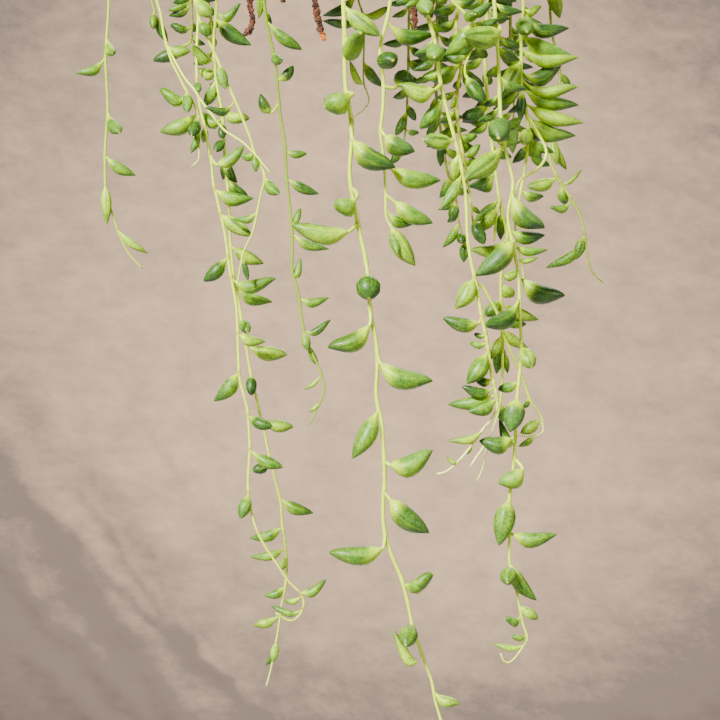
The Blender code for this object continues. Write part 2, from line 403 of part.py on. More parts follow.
run("stem_right_edge", "soil", (46, 20),
    [(88, -6), (88.2, 5), (89, 14), (90.8, 22.5), (92.3, 30.5), (92.2, 38), (91.3, 46), (89.8, 54),
     (88.3, 61), (87.9, 67), (89.2, 72), (92, 77.4), (95, 82), (98, 86.8), (100.5, 91.4), (102.1, 96),
     (103.2, 102), (104.1, 108), (105.3, 114), (107.2, 118.3), (111, 121.4)],
    [(87.9, -9, 92.4, 8.3, -6, 7, 0), (92.2, 30, 97, 37.2, 0, 4.4, 0), (89.2, 57, 91.2, 71.4, -3, 4.2, 0),
     (88.8, 59, 95.2, 73.2, 3, 4.2, 0), (91.6, 76.5, 77.8, 80.8, -3, 6.6, 1),
     (92.5, 78, 102, 73, 0, 2.6, 2),
     (92.8, 78.5, 94.9, 88.4, 4, 5, 0), (97.4, 86, 87.8, 89.5, -3, 4.4, 3),
     (103, 101, 99.3, 111.8, -2, 4.8, 0),
     (103.6, 104.5, 86.2, 115.6, 4, 5.2, 2)])

run("stem_right_behind", "soil", (62, 60),
    [(71.5, -6), (71.2, 6), (71.1, 15), (72, 26), (72.6, 38), (72.5, 50), (72, 60)],
    [(71.4, -4, 64.2, 10, -4, 7, 0), (72.5, 50, 72, 66.2, 0, 6.2, 0), (71.2, 13, 79, 20, 0, 6, 1)])

# Stems above the photograph's edge: (angle round the pot, end radius, depth of the end below the rim)
SHORT_STEMS = ((-30.0, 101.0, 128.0), (-18.0, 97.0, 96.0), (-6.0, 100.0, 134.0), (6.0, 98.0, 110.0),
               (52.0, 99.0, 132.0), (100.0, 98.0, 118.0), (166.0, 99.0, 126.0), (193.0, 97.0, 104.0),
               (208.0, 100.0, 130.0), (248.0, 98.0, 112.0), (261.0, 101.0, 126.0))
# Low tufts over the soil: (angle, radius of the root, radius of the end)
TUFTS = ((20.0, 14.0, 36.0), (110.0, 16.0, 35.0), (200.0, 14.0, 37.0), (290.0, 16.0, 36.0))

# Root tails: drain hole number and hand-set points (u, v, depth), from the photograph's top edge down
ROOT_TAILS = (("root_tail_left", 2, ((-41, -3), (-40.6, 3), (-39.6, 8), (-40.6, 12.5), (-45, 16.5))),
              ("root_tail_middle", 3, ((-26.7, -5), (-26.7, 0.8))),
              ("root_tail_front", 4, ((-13.4, -3), (-12.3, 4), (-11.3, 10), (-8.7, 17.6))),
              ("root_tail_right", 5, ((29, -3), (29.6, 4), (30.4, 12.6))))


def clear_scene():
    """Remove whatever the scene holds."""
    for item in list(bpy.data.objects):
        bpy.data.objects.remove(item, do_unlink=True)


def paint(name, color, roughness, metallic=0.0):
    """A Principled BSDF material of one colour."""
    look = bpy.data.materials.new(name)
    look.use_nodes = True
    shader = look.node_tree.nodes["Principled BSDF"]
    shader.inputs["Base Color"].default_value = (*color, 1.0)
    shader.inputs["Roughness"].default_value = roughness
    shader.inputs["Metallic"].default_value = metallic
    return look


def make_object(name, shape, look=None, location=(0.0, 0.0, 0.0)):
    """Object from (vertices, faces) in millimetres, at a location in millimetres."""
    vertices, faces = shape
    mesh = bpy.data.meshes.new(name)
    mesh.from_pydata([tuple(MM * c for c in p) for p in vertices], [], faces)
    mesh.validate()
    if look is not None:
        mesh.materials.append(look)
    item = bpy.data.objects.new(name, mesh)
    item.location = [MM * c for c in location]
    bpy.context.scene.collection.objects.link(item)
    return item


def combine(item, operation, shapes, location=(0.0, 0.0, 0.0)):
    """One Boolean of an object with a collection of shapes, applied; the shapes are removed."""
    group = bpy.data.collections.new(item.name + "_operands")
    bpy.context.scene.collection.children.link(group)
    for index, shape in enumerate(shapes):
        operand = make_object(f"{item.name}_operand_{index}", shape, None, location)
        bpy.context.scene.collection.objects.unlink(operand)
        group.objects.link(operand)
    modifier = item.modifiers.new("combine", "BOOLEAN")
    modifier.operation = operation
    modifier.operand_type = "COLLECTION"
    modifier.collection = group
    modifier.solver = "EXACT"
    evaluated = item.evaluated_get(bpy.context.evaluated_depsgraph_get())
    mesh = bpy.data.meshes.new_from_object(evaluated)
    item.modifiers.clear()
    item.data = mesh
    for operand in list(group.objects):
        bpy.data.objects.remove(operand, do_unlink=True)
    bpy.data.collections.remove(group)
    tidy_mesh(mesh)


def tidy_mesh(mesh):
    """Weld the seams that a Boolean leaves and cut its faces into triangles."""
    work = bmesh.new()
    work.from_mesh(mesh)
    bmesh.ops.remove_doubles(work, verts=work.verts, dist=WELD * MM)
    bmesh.ops.dissolve_degenerate(work, dist=WELD * MM, edges=work.edges)
    between = [vertex for vertex in work.verts if len(vertex.link_edges) == 2]
    bmesh.ops.dissolve_verts(work, verts=between)
    bmesh.ops.triangulate(work, faces=work.faces)
    work.to_mesh(mesh)
    work.free()


def is_closed(mesh):
    """Whether each edge has two faces and the mesh is one body."""
    work = bmesh.new()
    work.from_mesh(mesh)
    closed = all(len(edge.link_faces) == 2 for edge in work.edges)
    found, waiting = set(), [work.faces[:][0]]
    while waiting:
        face = waiting.pop()
        if face not in found:
            found.add(face)
            waiting += [other for edge in face.edges for other in edge.link_faces]
    closed = closed and len(found) == len(work.faces)
    work.free()
    return closed


def smooth(item, angle=40.0):
    """Shade smooth except over edges sharper than the angle."""
    item.data.shade_smooth()
    item.data.set_sharp_from_angle(angle=math.radians(angle))


def polar(radius, degrees, z=0.0):
    """Point at a radius and an angle round the pot's axis."""
    return np.array((radius * math.cos(math.radians(degrees)),
                     radius * math.sin(math.radians(degrees)), z))


def angle_of(point):
    """Angle of a point round the pot's axis, in degrees from 0 to 360."""
    return math.degrees(math.atan2(point[1], point[0])) % 360.0


def lathe(profile, steps):
    """Turned solid of (radius, z) points that start and end on the axis, from the bottom up."""
    vertices = [(0.0, 0.0, profile[0][1])]
    rings = []
    for radius, z in profile[1:-1]:
        rings.append([len(vertices) + k for k in range(steps)])
        vertices += [tuple(polar(radius, 360.0 * k / steps, z)) for k in range(steps)]
    top = len(vertices)
    vertices.append((0.0, 0.0, profile[-1][1]))
    faces = [(0, rings[0][(k + 1) % steps], rings[0][k]) for k in range(steps)]
    for low, high in zip(rings, rings[1:]):
        faces += [(low[k], low[(k + 1) % steps], high[(k + 1) % steps], high[k]) for k in range(steps)]
    faces += [(top, rings[-1][k], rings[-1][(k + 1) % steps]) for k in range(steps)]
    return vertices, faces


def upright(radius, centre, bottom, top, sides):
    """Upright prism with its axis at centre."""
    shape, faces = lathe([(0.0, bottom), (radius, bottom), (radius, top), (0.0, top)], sides)
    return [(x + centre[0], y + centre[1], z) for x, y, z in shape], faces


def frames(points):
    """Unit vectors (along, side, up) at each point of a line, turned as little as possible."""
    points = np.asarray(points, float)
    along = np.gradient(points, axis=0)
    along /= np.linalg.norm(along, axis=1)[:, None]
    side = np.cross(along[0], (0.0, 1.0, 0.2))
    side /= np.linalg.norm(side)
    result = []
    for direction in along:
        side = side - direction * side.dot(direction)
        side /= np.linalg.norm(side)
        result.append((direction, side, np.cross(direction, side)))
    return result


def tube(points, radii, sides):
    """Closed tube along a line, with a radius at each point."""
    vertices = []
    for point, radius, (_, side, up) in zip(points, radii, frames(points)):
        for k in range(sides):
            turn = math.tau * k / sides
            vertices.append(tuple(point + radius * (math.cos(turn) * side + math.sin(turn) * up)))
    faces = [tuple(range(sides))[::-1]]
    for ring in range(len(points) - 1):
        base = ring * sides
        faces += [(base + k, base + (k + 1) % sides, base + sides + (k + 1) % sides, base + sides + k)
                  for k in range(sides)]
    faces.append(tuple(range(len(vertices) - sides, len(vertices))))
    return vertices, faces


def picture_point(u, v, depth):
    """Point of the object's frame seen at (u, v) of the photograph, at a depth from the axis plane."""
    scale = (VIEW_DISTANCE + depth) / VIEW_DISTANCE
    return np.array((VIEW_U + (u - VIEW_U) * scale, depth, VIEW_Z - (v - VIEW_V) * scale))


def picture_of(points):
    """(u, v) of the photograph for points of the object's frame."""
    points = np.asarray(points, float)
    scale = (VIEW_DISTANCE + points[:, 1]) / VIEW_DISTANCE
    return np.column_stack((VIEW_U + (points[:, 0] - VIEW_U) / scale,
                            VIEW_V + (VIEW_Z - points[:, 2]) / scale))


def lengths_along(points):
    """Length of a line up to each of its points."""
    steps = np.linalg.norm(np.diff(points, axis=0), axis=1)
    return np.concatenate(((0.0,), np.cumsum(steps)))


def resample(points, step):
    """Points every step along a line."""
    points = np.asarray(points, float)
    along = lengths_along(points)
    places = np.linspace(0.0, along[-1], max(2, int(along[-1] / step) + 1))
    return np.column_stack([np.interp(places, along, points[:, axis]) for axis in range(3)])


def thin_out(points, tolerance):
    """Fewest points of a line that stay within the tolerance of it."""
    if len(points) < 3:
        return list(points)
    start, end = points[0], points[-1]
    chord = (end - start) / np.linalg.norm(end - start)
    away = [np.linalg.norm(p - start - chord * chord.dot(p - start)) for p in points]
    worst = int(np.argmax(away))
    if away[worst] <= tolerance:
        return [start, end]
    return thin_out(points[:worst + 1], tolerance)[:-1] + thin_out(points[worst:], tolerance)


def route_points(route, near, far):
    """Hand-read route with its depth running from near to far."""
    flat = lengths_along(np.array([(u, v, 0.0) for u, v in route]))
    return [picture_point(u, v, near + (far - near) * s / flat[-1]) for (u, v), s in zip(route, flat)]


def spread_angles(wanted, fixed, spacing):
    """Angles near the wanted ones that keep their order, a spacing between them and from the fixed ones."""
    angles = dict(enumerate(wanted))
    angles.update({f"fixed_{k}": a for k, a in enumerate(fixed)})
    order = sorted(angles, key=lambda name: angles[name])
    for _ in range(SPREAD_ROUNDS):
        for left, right in zip(order, order[1:] + order[:1]):
            short = spacing - (angles[right] - angles[left]) % 360.0
            if short <= 0.0 or short > 180.0:
                continue
            movable = [name for name in (left, right) if not isinstance(name, str)]
            for name in movable:
                angles[name] += (short if name == right else -short) / len(movable)
    return [angles[k] for k in range(len(wanted))]


def wire_line(angle):
    """Centreline of one hanger wire, from its free end outside the flange up to the ferrule."""
    centre = WIRE_CIRCLE + WIRE_HOOK_RADIUS
    bend_z = POT_RIM_Z - FLANGE_THICKNESS + WIRE_HOOK_RISE
    line = [polar(centre + WIRE_HOOK_RADIUS, angle, bend_z + WIRE_END_RISE)]
    for k in range(WIRE_BEND_STEPS + 1):
        turn = math.pi * k / WIRE_BEND_STEPS
        line.append(polar(centre + WIRE_HOOK_RADIUS * math.cos(turn), angle,
                          bend_z - WIRE_HOOK_RADIUS * math.sin(turn)))
    line.append(polar(WIRE_CIRCLE, angle, POT_RIM_Z + WIRE_STRAIGHT))
    line.append(polar(wire_radius_at(FERRULE_TOP - FERRULE_LENGTH + FERRULE_WIRE_DEPTH), angle,
                      FERRULE_TOP - FERRULE_LENGTH + FERRULE_WIRE_DEPTH))
    return np.array(line)


def wire_radius_at(z):
    """Distance of a wire's slanting part from the axis at height z."""
    low = POT_RIM_Z + WIRE_STRAIGHT
    high = FERRULE_TOP - FERRULE_LENGTH
    return WIRE_CIRCLE + (FERRULE_WIRE_CIRCLE - WIRE_CIRCLE) * (z - low) / (high - low)


def pot_wall(z, inside):
    """Radius of the pot's wall at height z."""
    rim = POT_RIM_RADIUS - (POT_WALL if inside else 0.0)
    base = POT_BASE_RADIUS - (POT_WALL if inside else 0.0)
    return base + (rim - base) * (z - POT_BOTTOM_Z) / POT_HEIGHT


def drain_centre(number):
    """Centre of one drain hole."""
    return polar(DRAIN_CIRCLE, DRAIN_START + number * 360.0 / DRAIN_HOLES)


def tail_line(number, route):
    """Centreline of a root tail, from its seat in the soil through its drain hole."""
    hole = drain_centre(number)
    depth = hole[1]
    line = [hole + (0, 0, POT_BOTTOM_Z + POT_FLOOR + TAIL_SEAT), hole + (0, 0, POT_BOTTOM_Z - 2.0)]
    line += [picture_point(u, v, depth) for u, v in route]
    return resample(line, TAIL_STEP)


class Space:
    """Spheres that stand for what has been placed, each with the name of its node."""

    def __init__(self):
        self.centres = np.zeros((0, 3))
        self.radii = np.zeros(0)
        self.owners = np.zeros(0, dtype="U40")

    def add(self, centres, radii, owner):
        """Note the spheres of a node."""
        centres = np.asarray(centres, float).reshape(-1, 3)
        self.centres = np.concatenate((self.centres, centres))
        self.radii = np.concatenate((self.radii, np.broadcast_to(radii, len(centres))))
        self.owners = np.concatenate((self.owners, np.full(len(centres), owner, dtype="U40")))

    def gap(self, centres, radii, owner):
        """Smallest distance from the spheres to those of other nodes and to the pot."""
        reach = np.abs(centres - centres.mean(axis=0)).max() + REACH
        near = (np.abs(self.centres - centres.mean(axis=0)).max(axis=1) < reach) & (self.owners != owner)
        gap = pot_gap(centres, radii)
        if near.any():
            apart = np.linalg.norm(self.centres[near][:, None] - centres[None], axis=2)
            gap = min(gap, (apart - self.radii[near][:, None] - radii[None]).min())
        return gap


def pot_gap(centres, radii):
    """Smallest distance from the spheres to the pot and the soil, taken in the plane of the radius."""
    flat = np.column_stack((np.hypot(centres[:, 0], centres[:, 1]), centres[:, 2]))
    half = POT_WALL / 2.0
    edges = (((POT_BASE_RADIUS - half, POT_BOTTOM_Z), (POT_RIM_RADIUS - half, POT_RIM_Z - half), half),
             ((POT_RIM_RADIUS, POT_RIM_Z - half), (FLANGE_RADIUS - half, POT_RIM_Z - half), half + 0.3),
             ((0.0, SOIL_Z + SOIL_CROWN), (POT_RIM_RADIUS, SOIL_Z), 0.0),
             ((0.0, POT_BOTTOM_Z), (POT_BASE_RADIUS, POT_BOTTOM_Z), 0.0))
    gap = np.inf
    for start, end, thick in edges:
        start, end = np.array(start), np.array(end)
        t = np.clip((flat - start) @ (end - start) / ((end - start) @ (end - start)), 0.0, 1.0)
        apart = np.linalg.norm(flat - start - t[:, None] * (end - start), axis=1)
        gap = min(gap, (apart - thick - radii).min())
    return gap


class Bead:
    """One fleshy leaf: an axis that sags between root and tip, and a width."""

    def __init__(self, root, tip, width, sag):
        self.root, self.tip, self.width, self.sag = np.asarray(root), np.asarray(tip), width, sag
        self.profile = PROFILE_BIG if width >= BIG_BEAD else PROFILE_SMALL

    def axis(self, t):
        """Points of the axis."""
        t = np.asarray(t, float)[:, None]
        middle = (self.root + self.tip) / 2.0 - (0.0, 0.0, 2.0 * self.sag)
        return (1 - t) ** 2 * self.root + 2 * t * (1 - t) * middle + t ** 2 * self.tip

    def length(self):
        """Length of the axis."""
        return lengths_along(self.axis(np.linspace(0, 1, 6)))[-1]

    def spheres(self):
        """Spheres that fill the bead, for keeping it clear of its neighbours."""
        t = np.linspace(0.16, 1.0, BEAD_SPHERES)
        places = [0.0] + [place for place, _ in self.profile] + [1.0]
        sizes = [0.0] + [size for _, size in self.profile] + [0.0]
        return self.axis(t), SECTION * self.width / 2.0 * np.interp(t, places, sizes)

    def shape(self, sink, scale):
        """Three-sided spindle with its flat side up and its root sunk past the stem's middle."""
        t = [place for place, _ in self.profile]
        points = self.axis(t)
        nose = self.axis((0.0, 0.06))
        root = nose[0] - sink * (nose[1] - nose[0]) / np.linalg.norm(nose[1] - nose[0])
        along = self.tip - self.root
        along /= np.linalg.norm(along)
        side = np.cross(along, (0.0, 0.0, 1.0))
        if np.linalg.norm(side) < 0.2:
            side = np.cross(along, (0.3, 1.0, 0.0))
        side /= np.linalg.norm(side)
        vertices = [tuple(root)]
        for point, ahead, (_, size) in zip(points, self.axis(np.array(t) + 0.02), self.profile):
            up = np.cross(side, ahead - point)
            up /= np.linalg.norm(up)
            for k in range(BEAD_SIDES):
                turn = -math.pi / 2 + math.tau * k / BEAD_SIDES
                reach = scale * SECTION * size * self.width / 2.0
                vertices.append(tuple(point + reach * (math.cos(turn) * side + math.sin(turn) * up)))
        vertices.append(tuple(self.tip))
        last = len(vertices) - 1
        count = BEAD_SIDES
        faces = [(0, 1 + (k + 1) % count, 1 + k) for k in range(count)]
        for ring in range(len(self.profile) - 1):
            base = 1 + ring * count
            faces += [(base + k, base + (k + 1) % count, base + count + (k + 1) % count, base + count + k)
                      for k in range(count)]
        base = last - count
        faces += [(last, base + k, base + (k + 1) % count) for k in range(count)]
        return vertices, faces


class Stem:
    """One leafy node: its lines with their radii, and its beads."""

    def __init__(self, name):
        self.name, self.lines, self.radii, self.beads = name, [], [], []
        self.plain_length = 0.0

    def add_line(self, line, radius):
        """Add the trunk or a branch; it thins toward its end."""
        line = np.array(thin_out(np.asarray(line, float), LINE_TOLERANCE))
        along = lengths_along(line) / lengths_along(line)[-1]
        self.lines.append(line)
        self.radii.append(radius * np.interp(along, (0.0, 0.9, 1.0), (1.0, 0.85, 0.5)))

    def nearest(self, u, v):
        """Point of the lines seen nearest to (u, v)."""
        points = np.concatenate([resample(line, 1.0) for line in self.lines])
        away = np.linalg.norm(picture_of(points) - (u, v), axis=1)
        return points[away.argmin()]


def plan_stems():
    """Lines of all leafy stems, with their feet in the soil holes; also the centres of the holes."""
    draw = random.Random(SEED)
    planned = []
    for entry in RUNS:
        if entry["start"] == "soil":
            line = route_points(entry["route"], *entry["depths"])
            planned.append((entry["node"], angle_of(line[0]), line, entry["radius"]))
    for number, (angle, radius, drop) in enumerate(SHORT_STEMS):
        end = polar(radius, angle, POT_RIM_Z - drop)
        planned.append((f"stem_short_{number + 1:02d}", angle % 360.0, [end], STEM_RADIUS))
    spacing = math.degrees(RIM_SPACING / POT_RIM_RADIUS)
    rim = spread_angles([angle for _, angle, _, _ in planned], WIRE_ANGLES, spacing)
    order = sorted(range(len(planned)), key=lambda k: rim[k])
    stems, holes = {}, []
    for first in range(0, len(order), CLUMP_SIZE):
        members = order[first:first + CLUMP_SIZE]
        middle = sum(rim[k] for k in members) / len(members)
        holes.append((polar(CLUMP_RADIUS, middle), CLUMP_HOLE))
        for place, k in enumerate(members):
            name, _, line, radius = planned[k]
            foot = polar(CLUMP_RADIUS, middle) + polar(CLUMP_SPREAD, middle + CLUMP_TURNS[place])
            climb = climb_line(foot, rim[k], line[0], draw)
            stem = Stem(name)
            stem.plain_length = lengths_along(np.array(climb + [line[0]]))[-1]
            stem.add_line(climb + list(line), radius)
            stems[name] = stem
    for entry in RUNS:
        if entry["start"] == "branch":
            stem = stems[entry["node"]]
            line = route_points(entry["route"], *entry["depths"])
            line[0] = stem.nearest(*entry["route"][0])
            stem.add_line(line, entry["radius"])
    for number, (angle, inner, outer) in enumerate(TUFTS):
        stem = Stem(f"tuft_{number + 1}")
        stem.add_line([polar(inner + out * (outer - inner), angle + swing, SOIL_Z + rise)
                       for out, swing, rise in TUFT_LINE], STEM_RADIUS)
        stem.plain_length = lengths_along(stem.lines[0])[-1]
        stems[stem.name] = stem
        holes.append((polar(inner, angle), TUFT_HOLE))
    return stems, holes


def climb_line(foot, rim_angle, first, draw):
    """Line of a stem out of the soil, over the rim and down toward its first read point."""
    start = angle_of(foot)
    swing = (rim_angle - start + 180.0) % 360.0 - 180.0
    radius = math.hypot(foot[0], foot[1])
    outer = OVER_RADIUS + OVER_SHARE * (math.hypot(first[0], first[1]) - OVER_RADIUS)
    lift = draw.uniform(0.0, ARCH_LIFT)
    line = [foot + (0, 0, SOIL_Z - HOLE_DEPTH + 1.0), foot + (0, 0, SOIL_Z + 4.0)]
    for reach, turn, height in ARCH_LINE:
        line.append(polar(radius + reach * (POT_RIM_RADIUS - radius), start + turn * swing,
                          POT_RIM_Z + height + lift * min(1.0, height / 5.0)))
    line += [polar(outer + out, rim_angle, POT_RIM_Z + height) for out, height in OVER_LINE]
    base = line[-1]
    drop = base[2] - first[2]
    steps = max(2, int(drop / DROP_STEP))
    for k in range(1, steps):
        wave = np.array((draw.uniform(-WAVE, WAVE), draw.uniform(-WAVE, WAVE), 0.0))
        line.append(base + (first - base) * k / steps + wave)
    return line


def fixed_spheres(space):
    """Note the wires and the root tails, which the beads keep clear of."""
    for number, angle in enumerate(WIRE_ANGLES):
        line = resample(wire_line(angle), STEM_SAMPLE)
        space.add(line, WIRE_RADIUS, f"wire_{number}")
    for name, number, route in ROOT_TAILS:
        line = tail_line(number, route)
        space.add(resample(line, STEM_SAMPLE), TAIL_RADIUS + TAIL_MARGIN, name)


def grow():
    """All leafy stems with their beads; also the centres of the soil holes."""
    stems, holes = plan_stems()
    space = Space()
    fixed_spheres(space)
    for stem in stems.values():
        for line, radii in zip(stem.lines, stem.radii):
            space.add(resample(line, STEM_SAMPLE), SECTION * radii.max(), stem.name)
    for entry in RUNS:
        for reading in entry["beads"]:
            place_read_bead(stems[entry["node"]], reading, space)
    for number, stem in enumerate(stems.values()):
        place_rule_beads(stem, random.Random(SEED + 100 + number), space)
    return stems, holes


def settle(stem, choices, space):
    """Give the stem the first bead of the choices that keeps clear of everything else."""
    for bead in choices:
        centres, radii = bead.spheres()
        if space.gap(centres, radii, stem.name) >= CLEARANCE:
            space.add(centres, radii, stem.name)
            stem.beads.append(bead)
            return True
    return False


def place_read_bead(stem, reading, space):
    """Place one bead where it was read, moved only along the line of sight where it must be."""
    root_u, root_v, tip_u, tip_v, ahead, width, sag = reading
    root = stem.nearest(root_u, root_v)
    choices = []
    for shrink in SHRINK_TRIES:
        for shift in DEPTH_TRIES:
            tip = picture_point(tip_u, tip_v, root[1] + ahead + shift)
            bead = Bead(root, tip, width * shrink, sag)
            if bead.length() < LONGEST_BEAD or shift == 0.0:
                choices.append(bead)
    if not settle(stem, choices, space):
        print("no room for a bead of", stem.name, "at", (root_u, root_v, tip_u, tip_v))


def place_rule_beads(stem, draw, space):
    """Place beads by rule on the part of the trunk that no photograph shows."""
    line = resample(stem.lines[0], 1.0)
    along = lengths_along(line)
    directions = np.gradient(line, axis=0)
    tuft = stem.name.startswith("tuft")
    place = TUFT_START if tuft else RULE_START
    spacing = TUFT_SPACING if tuft else RULE_SPACING
    turn = draw.uniform(0.0, 360.0)
    while place < stem.plain_length - (0.0 if tuft else RULE_END):
        here = int(np.searchsorted(along, place))
        length = draw.uniform(*RULE_LENGTH)
        settle(stem, [bead for bead in rule_choices(line[here], directions[here], turn, length)
                      if above_photo(bead)], space)
        turn += RULE_TURN + draw.uniform(-RULE_TURN_JITTER, RULE_TURN_JITTER)
        place += spacing * draw.uniform(1.0 - RULE_JITTER, 1.0 + RULE_JITTER)


def above_photo(bead):
    """Whether a bead stays above the photograph's top edge."""
    centres, radii = bead.spheres()
    return (picture_of(centres)[:, 1] + 1.1 * radii).max() < -PHOTO_MARGIN


def rule_choices(root, direction, turn, length):
    """Beads that leave the stem at about the wanted turn and hang or rise a little."""
    direction = direction / np.linalg.norm(direction)
    side = np.cross(direction, (0.31, 0.95, 0.0))
    side /= np.linalg.norm(side)
    other = np.cross(direction, side)
    beads = []
    for size in RULE_SIZES:
        for swing in TURN_TRIES:
            angle = math.radians(turn + swing)
            out = math.cos(angle) * side + math.sin(angle) * other
            tip = root + size * length * (RULE_OUT * out + RULE_ALONG * direction + RULE_FALL)
            beads.append(Bead(root, tip, size * length * RULE_WIDTH, RULE_SAG * length))
    return beads


def build_stem(stem, look):
    """Fuse the trunk, the branches and the beads of one node."""
    for sink, scale in FUSE_TRIES:
        trunk = make_object(stem.name, tube(stem.lines[0], SECTION * stem.radii[0], STEM_SIDES), look)
        shapes = [tube(line, SECTION * radii, STEM_SIDES)
                  for line, radii in zip(stem.lines[1:], stem.radii[1:])]
        shapes += [bead.shape(sink, scale) for bead in stem.beads]
        combine(trunk, "UNION", shapes)
        if is_closed(trunk.data):
            smooth(trunk, 60.0)
            return
        bpy.data.objects.remove(trunk, do_unlink=True)
    raise RuntimeError(f"{stem.name} doesn't fuse into one closed body")


def build_pot(look):
    """Turned pot with a flange, drain holes and holes for the hanger wires."""
    top = POT_HEIGHT
    under = top - FLANGE_THICKNESS
    profile = [(0.0, 0.0), (POT_BASE_RADIUS - 1.5, 0.0), (POT_BASE_RADIUS, 1.5),
               (pot_wall(POT_BOTTOM_Z + under, False), under), (FLANGE_RADIUS, under), (FLANGE_RADIUS, top),
               (POT_RIM_RADIUS - POT_WALL, top), (pot_wall(POT_BOTTOM_Z + POT_FLOOR, True), POT_FLOOR),
               (0.0, POT_FLOOR)]
    pot = make_object("pot", lathe(profile, POT_STEPS), look, (0.0, 0.0, POT_BOTTOM_Z))
    cutters = [upright(DRAIN_RADIUS, drain_centre(k), -1.0, POT_FLOOR + 1.0, HOLE_SIDES)
               for k in range(DRAIN_HOLES)]
    cutters += [upright(WIRE_HOLE_RADIUS, polar(WIRE_CIRCLE, angle), under - 1.0, top + 1.0, HOLE_SIDES)
                for angle in WIRE_ANGLES]
    combine(pot, "DIFFERENCE", cutters, (0.0, 0.0, POT_BOTTOM_Z))
    smooth(pot)
    return pot


def build_soil(holes, look):
    """Soil that fills the pot, with plain holes for the stems and for the root tails."""
    bottom = POT_BOTTOM_Z + POT_FLOOR + GAP
    profile = [(0.0, bottom), (pot_wall(bottom, True) - GAP, bottom),
    (pot_wall(SOIL_Z, True) - GAP, SOIL_Z),
               (SOIL_SHOULDER, SOIL_Z + 0.5 * SOIL_CROWN), (0.0, SOIL_Z + SOIL_CROWN)]
    soil = make_object("soil", lathe(profile, POT_STEPS), look)
    cutters = [upright(radius, centre, SOIL_Z - HOLE_DEPTH, SOIL_Z + 2.0 * SOIL_CROWN, HOLE_SIDES)
               for centre, radius in holes]
    cutters += [upright(TAIL_HOLE, drain_centre(number), bottom - 2.0, bottom + TAIL_SEAT + GAP, HOLE_SIDES)
                for _, number, _ in ROOT_TAILS]
    combine(soil, "DIFFERENCE", cutters)
    smooth(soil)
    return soil


def build_hanger(look):
    """Three hanger wires, the ferrule that gathers them and the hook."""
    for number, angle in enumerate(WIRE_ANGLES):
        line = wire_line(angle)
        shape = tube(line, [WIRE_RADIUS] * len(line), WIRE_SIDES)
        wire = make_object(f"hanger_wire_{number + 1}", shape, look)
        smooth(wire, 65.0)
    bottom = FERRULE_TOP - FERRULE_LENGTH
    profile = [(0.0, bottom), (FERRULE_RADIUS - 0.8, bottom), (FERRULE_RADIUS, bottom + 0.8),
               (FERRULE_RADIUS, FERRULE_TOP - 0.8), (FERRULE_RADIUS - 0.8, FERRULE_TOP), (0.0, FERRULE_TOP)]
    ferrule = make_object("ferrule", lathe(profile, FERRULE_SIDES), look)
    cutters = [upright(HOOK_WIRE + GAP, (0.0, 0.0), FERRULE_TOP - HOOK_SEAT - GAP, FERRULE_TOP + 1.0,
                       HOLE_SIDES)]
    for angle in WIRE_ANGLES:
        ends = [polar(wire_radius_at(z), angle, z) for z in (bottom - 1.0, bottom + FERRULE_WIRE_DEPTH + GAP)]
        cutters.append(tube(ends, [WIRE_RADIUS + GAP] * 2, HOLE_SIDES))
    combine(ferrule, "DIFFERENCE", cutters)
    smooth(ferrule, 50.0)
    line = hook_line()
    hook = make_object("hook", tube(line, [HOOK_WIRE] * len(line), HOOK_SIDES), look)
    smooth(hook, 50.0)


def hook_line():
    """Centreline of the hook: shank, return bend and the big bend that bears the load."""
    join = math.radians(HOOK_JOIN_ANGLE)
    centre = -(HOOK_BEND - HOOK_WIRE)
    small = HOOK_BEND * math.cos(join) / (1.0 - math.cos(join))
    start = centre - (HOOK_BEND + small) * math.sin(join)
    line = [(0.0, 0.0, FERRULE_TOP - HOOK_SEAT)]
    for k in range(HOOK_STEPS + 1):
        turn = join * k / HOOK_STEPS
        line.append((small * (1.0 - math.cos(turn)), 0.0, start + small * math.sin(turn)))
    sweep = math.radians(HOOK_END_ANGLE) + join
    for k in range(1, 3 * HOOK_STEPS + 1):
        turn = -join + sweep * k / (3 * HOOK_STEPS)
        line.append((HOOK_BEND * math.cos(turn), 0.0, centre + HOOK_BEND * math.sin(turn)))
    return np.array(line)


def build_root_tails(look):
    """Root tails with clinging soil that hang from the drain holes."""
    draw = random.Random(SEED + 1)
    for name, number, route in ROOT_TAILS:
        line = tail_line(number, route)
        radii = [TAIL_RADIUS * draw.uniform(*TAIL_SWELL) for _ in line]
        radii[0] = radii[1] = TAIL_RADIUS
        radii[-1] = 0.45 * TAIL_RADIUS
        item = make_object(name, tube(line, radii, TAIL_SIDES), look)
        smooth(item, 80.0)


def main():
    """Build every sub-part."""
    clear_scene()
    leaf = paint("succulent_green", (0.27, 0.36, 0.13), 0.4)
    plastic = paint("pot_plastic", (0.45, 0.2, 0.12), 0.6)
    earth = paint("potting_soil", (0.09, 0.06, 0.045), 0.95)
    root = paint("root_brown", (0.2, 0.12, 0.07), 0.9)
    steel = paint("galvanised_wire", (0.55, 0.55, 0.56), 0.4, 1.0)
    stems, holes = grow()
    build_pot(plastic)
    build_soil(holes, earth)
    build_hanger(steel)
    build_root_tails(root)
    for stem in stems.values():
        build_stem(stem, leaf)


if __name__ == "__main__":
    main()
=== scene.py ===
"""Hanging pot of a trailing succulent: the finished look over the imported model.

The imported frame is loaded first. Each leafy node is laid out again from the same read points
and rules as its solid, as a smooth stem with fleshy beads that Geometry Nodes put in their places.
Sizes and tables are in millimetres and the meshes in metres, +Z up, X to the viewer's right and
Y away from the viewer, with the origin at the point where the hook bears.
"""

import json
import math
import random

import bmesh
import bpy
import numpy as np
from mathutils import Color, Matrix, Vector

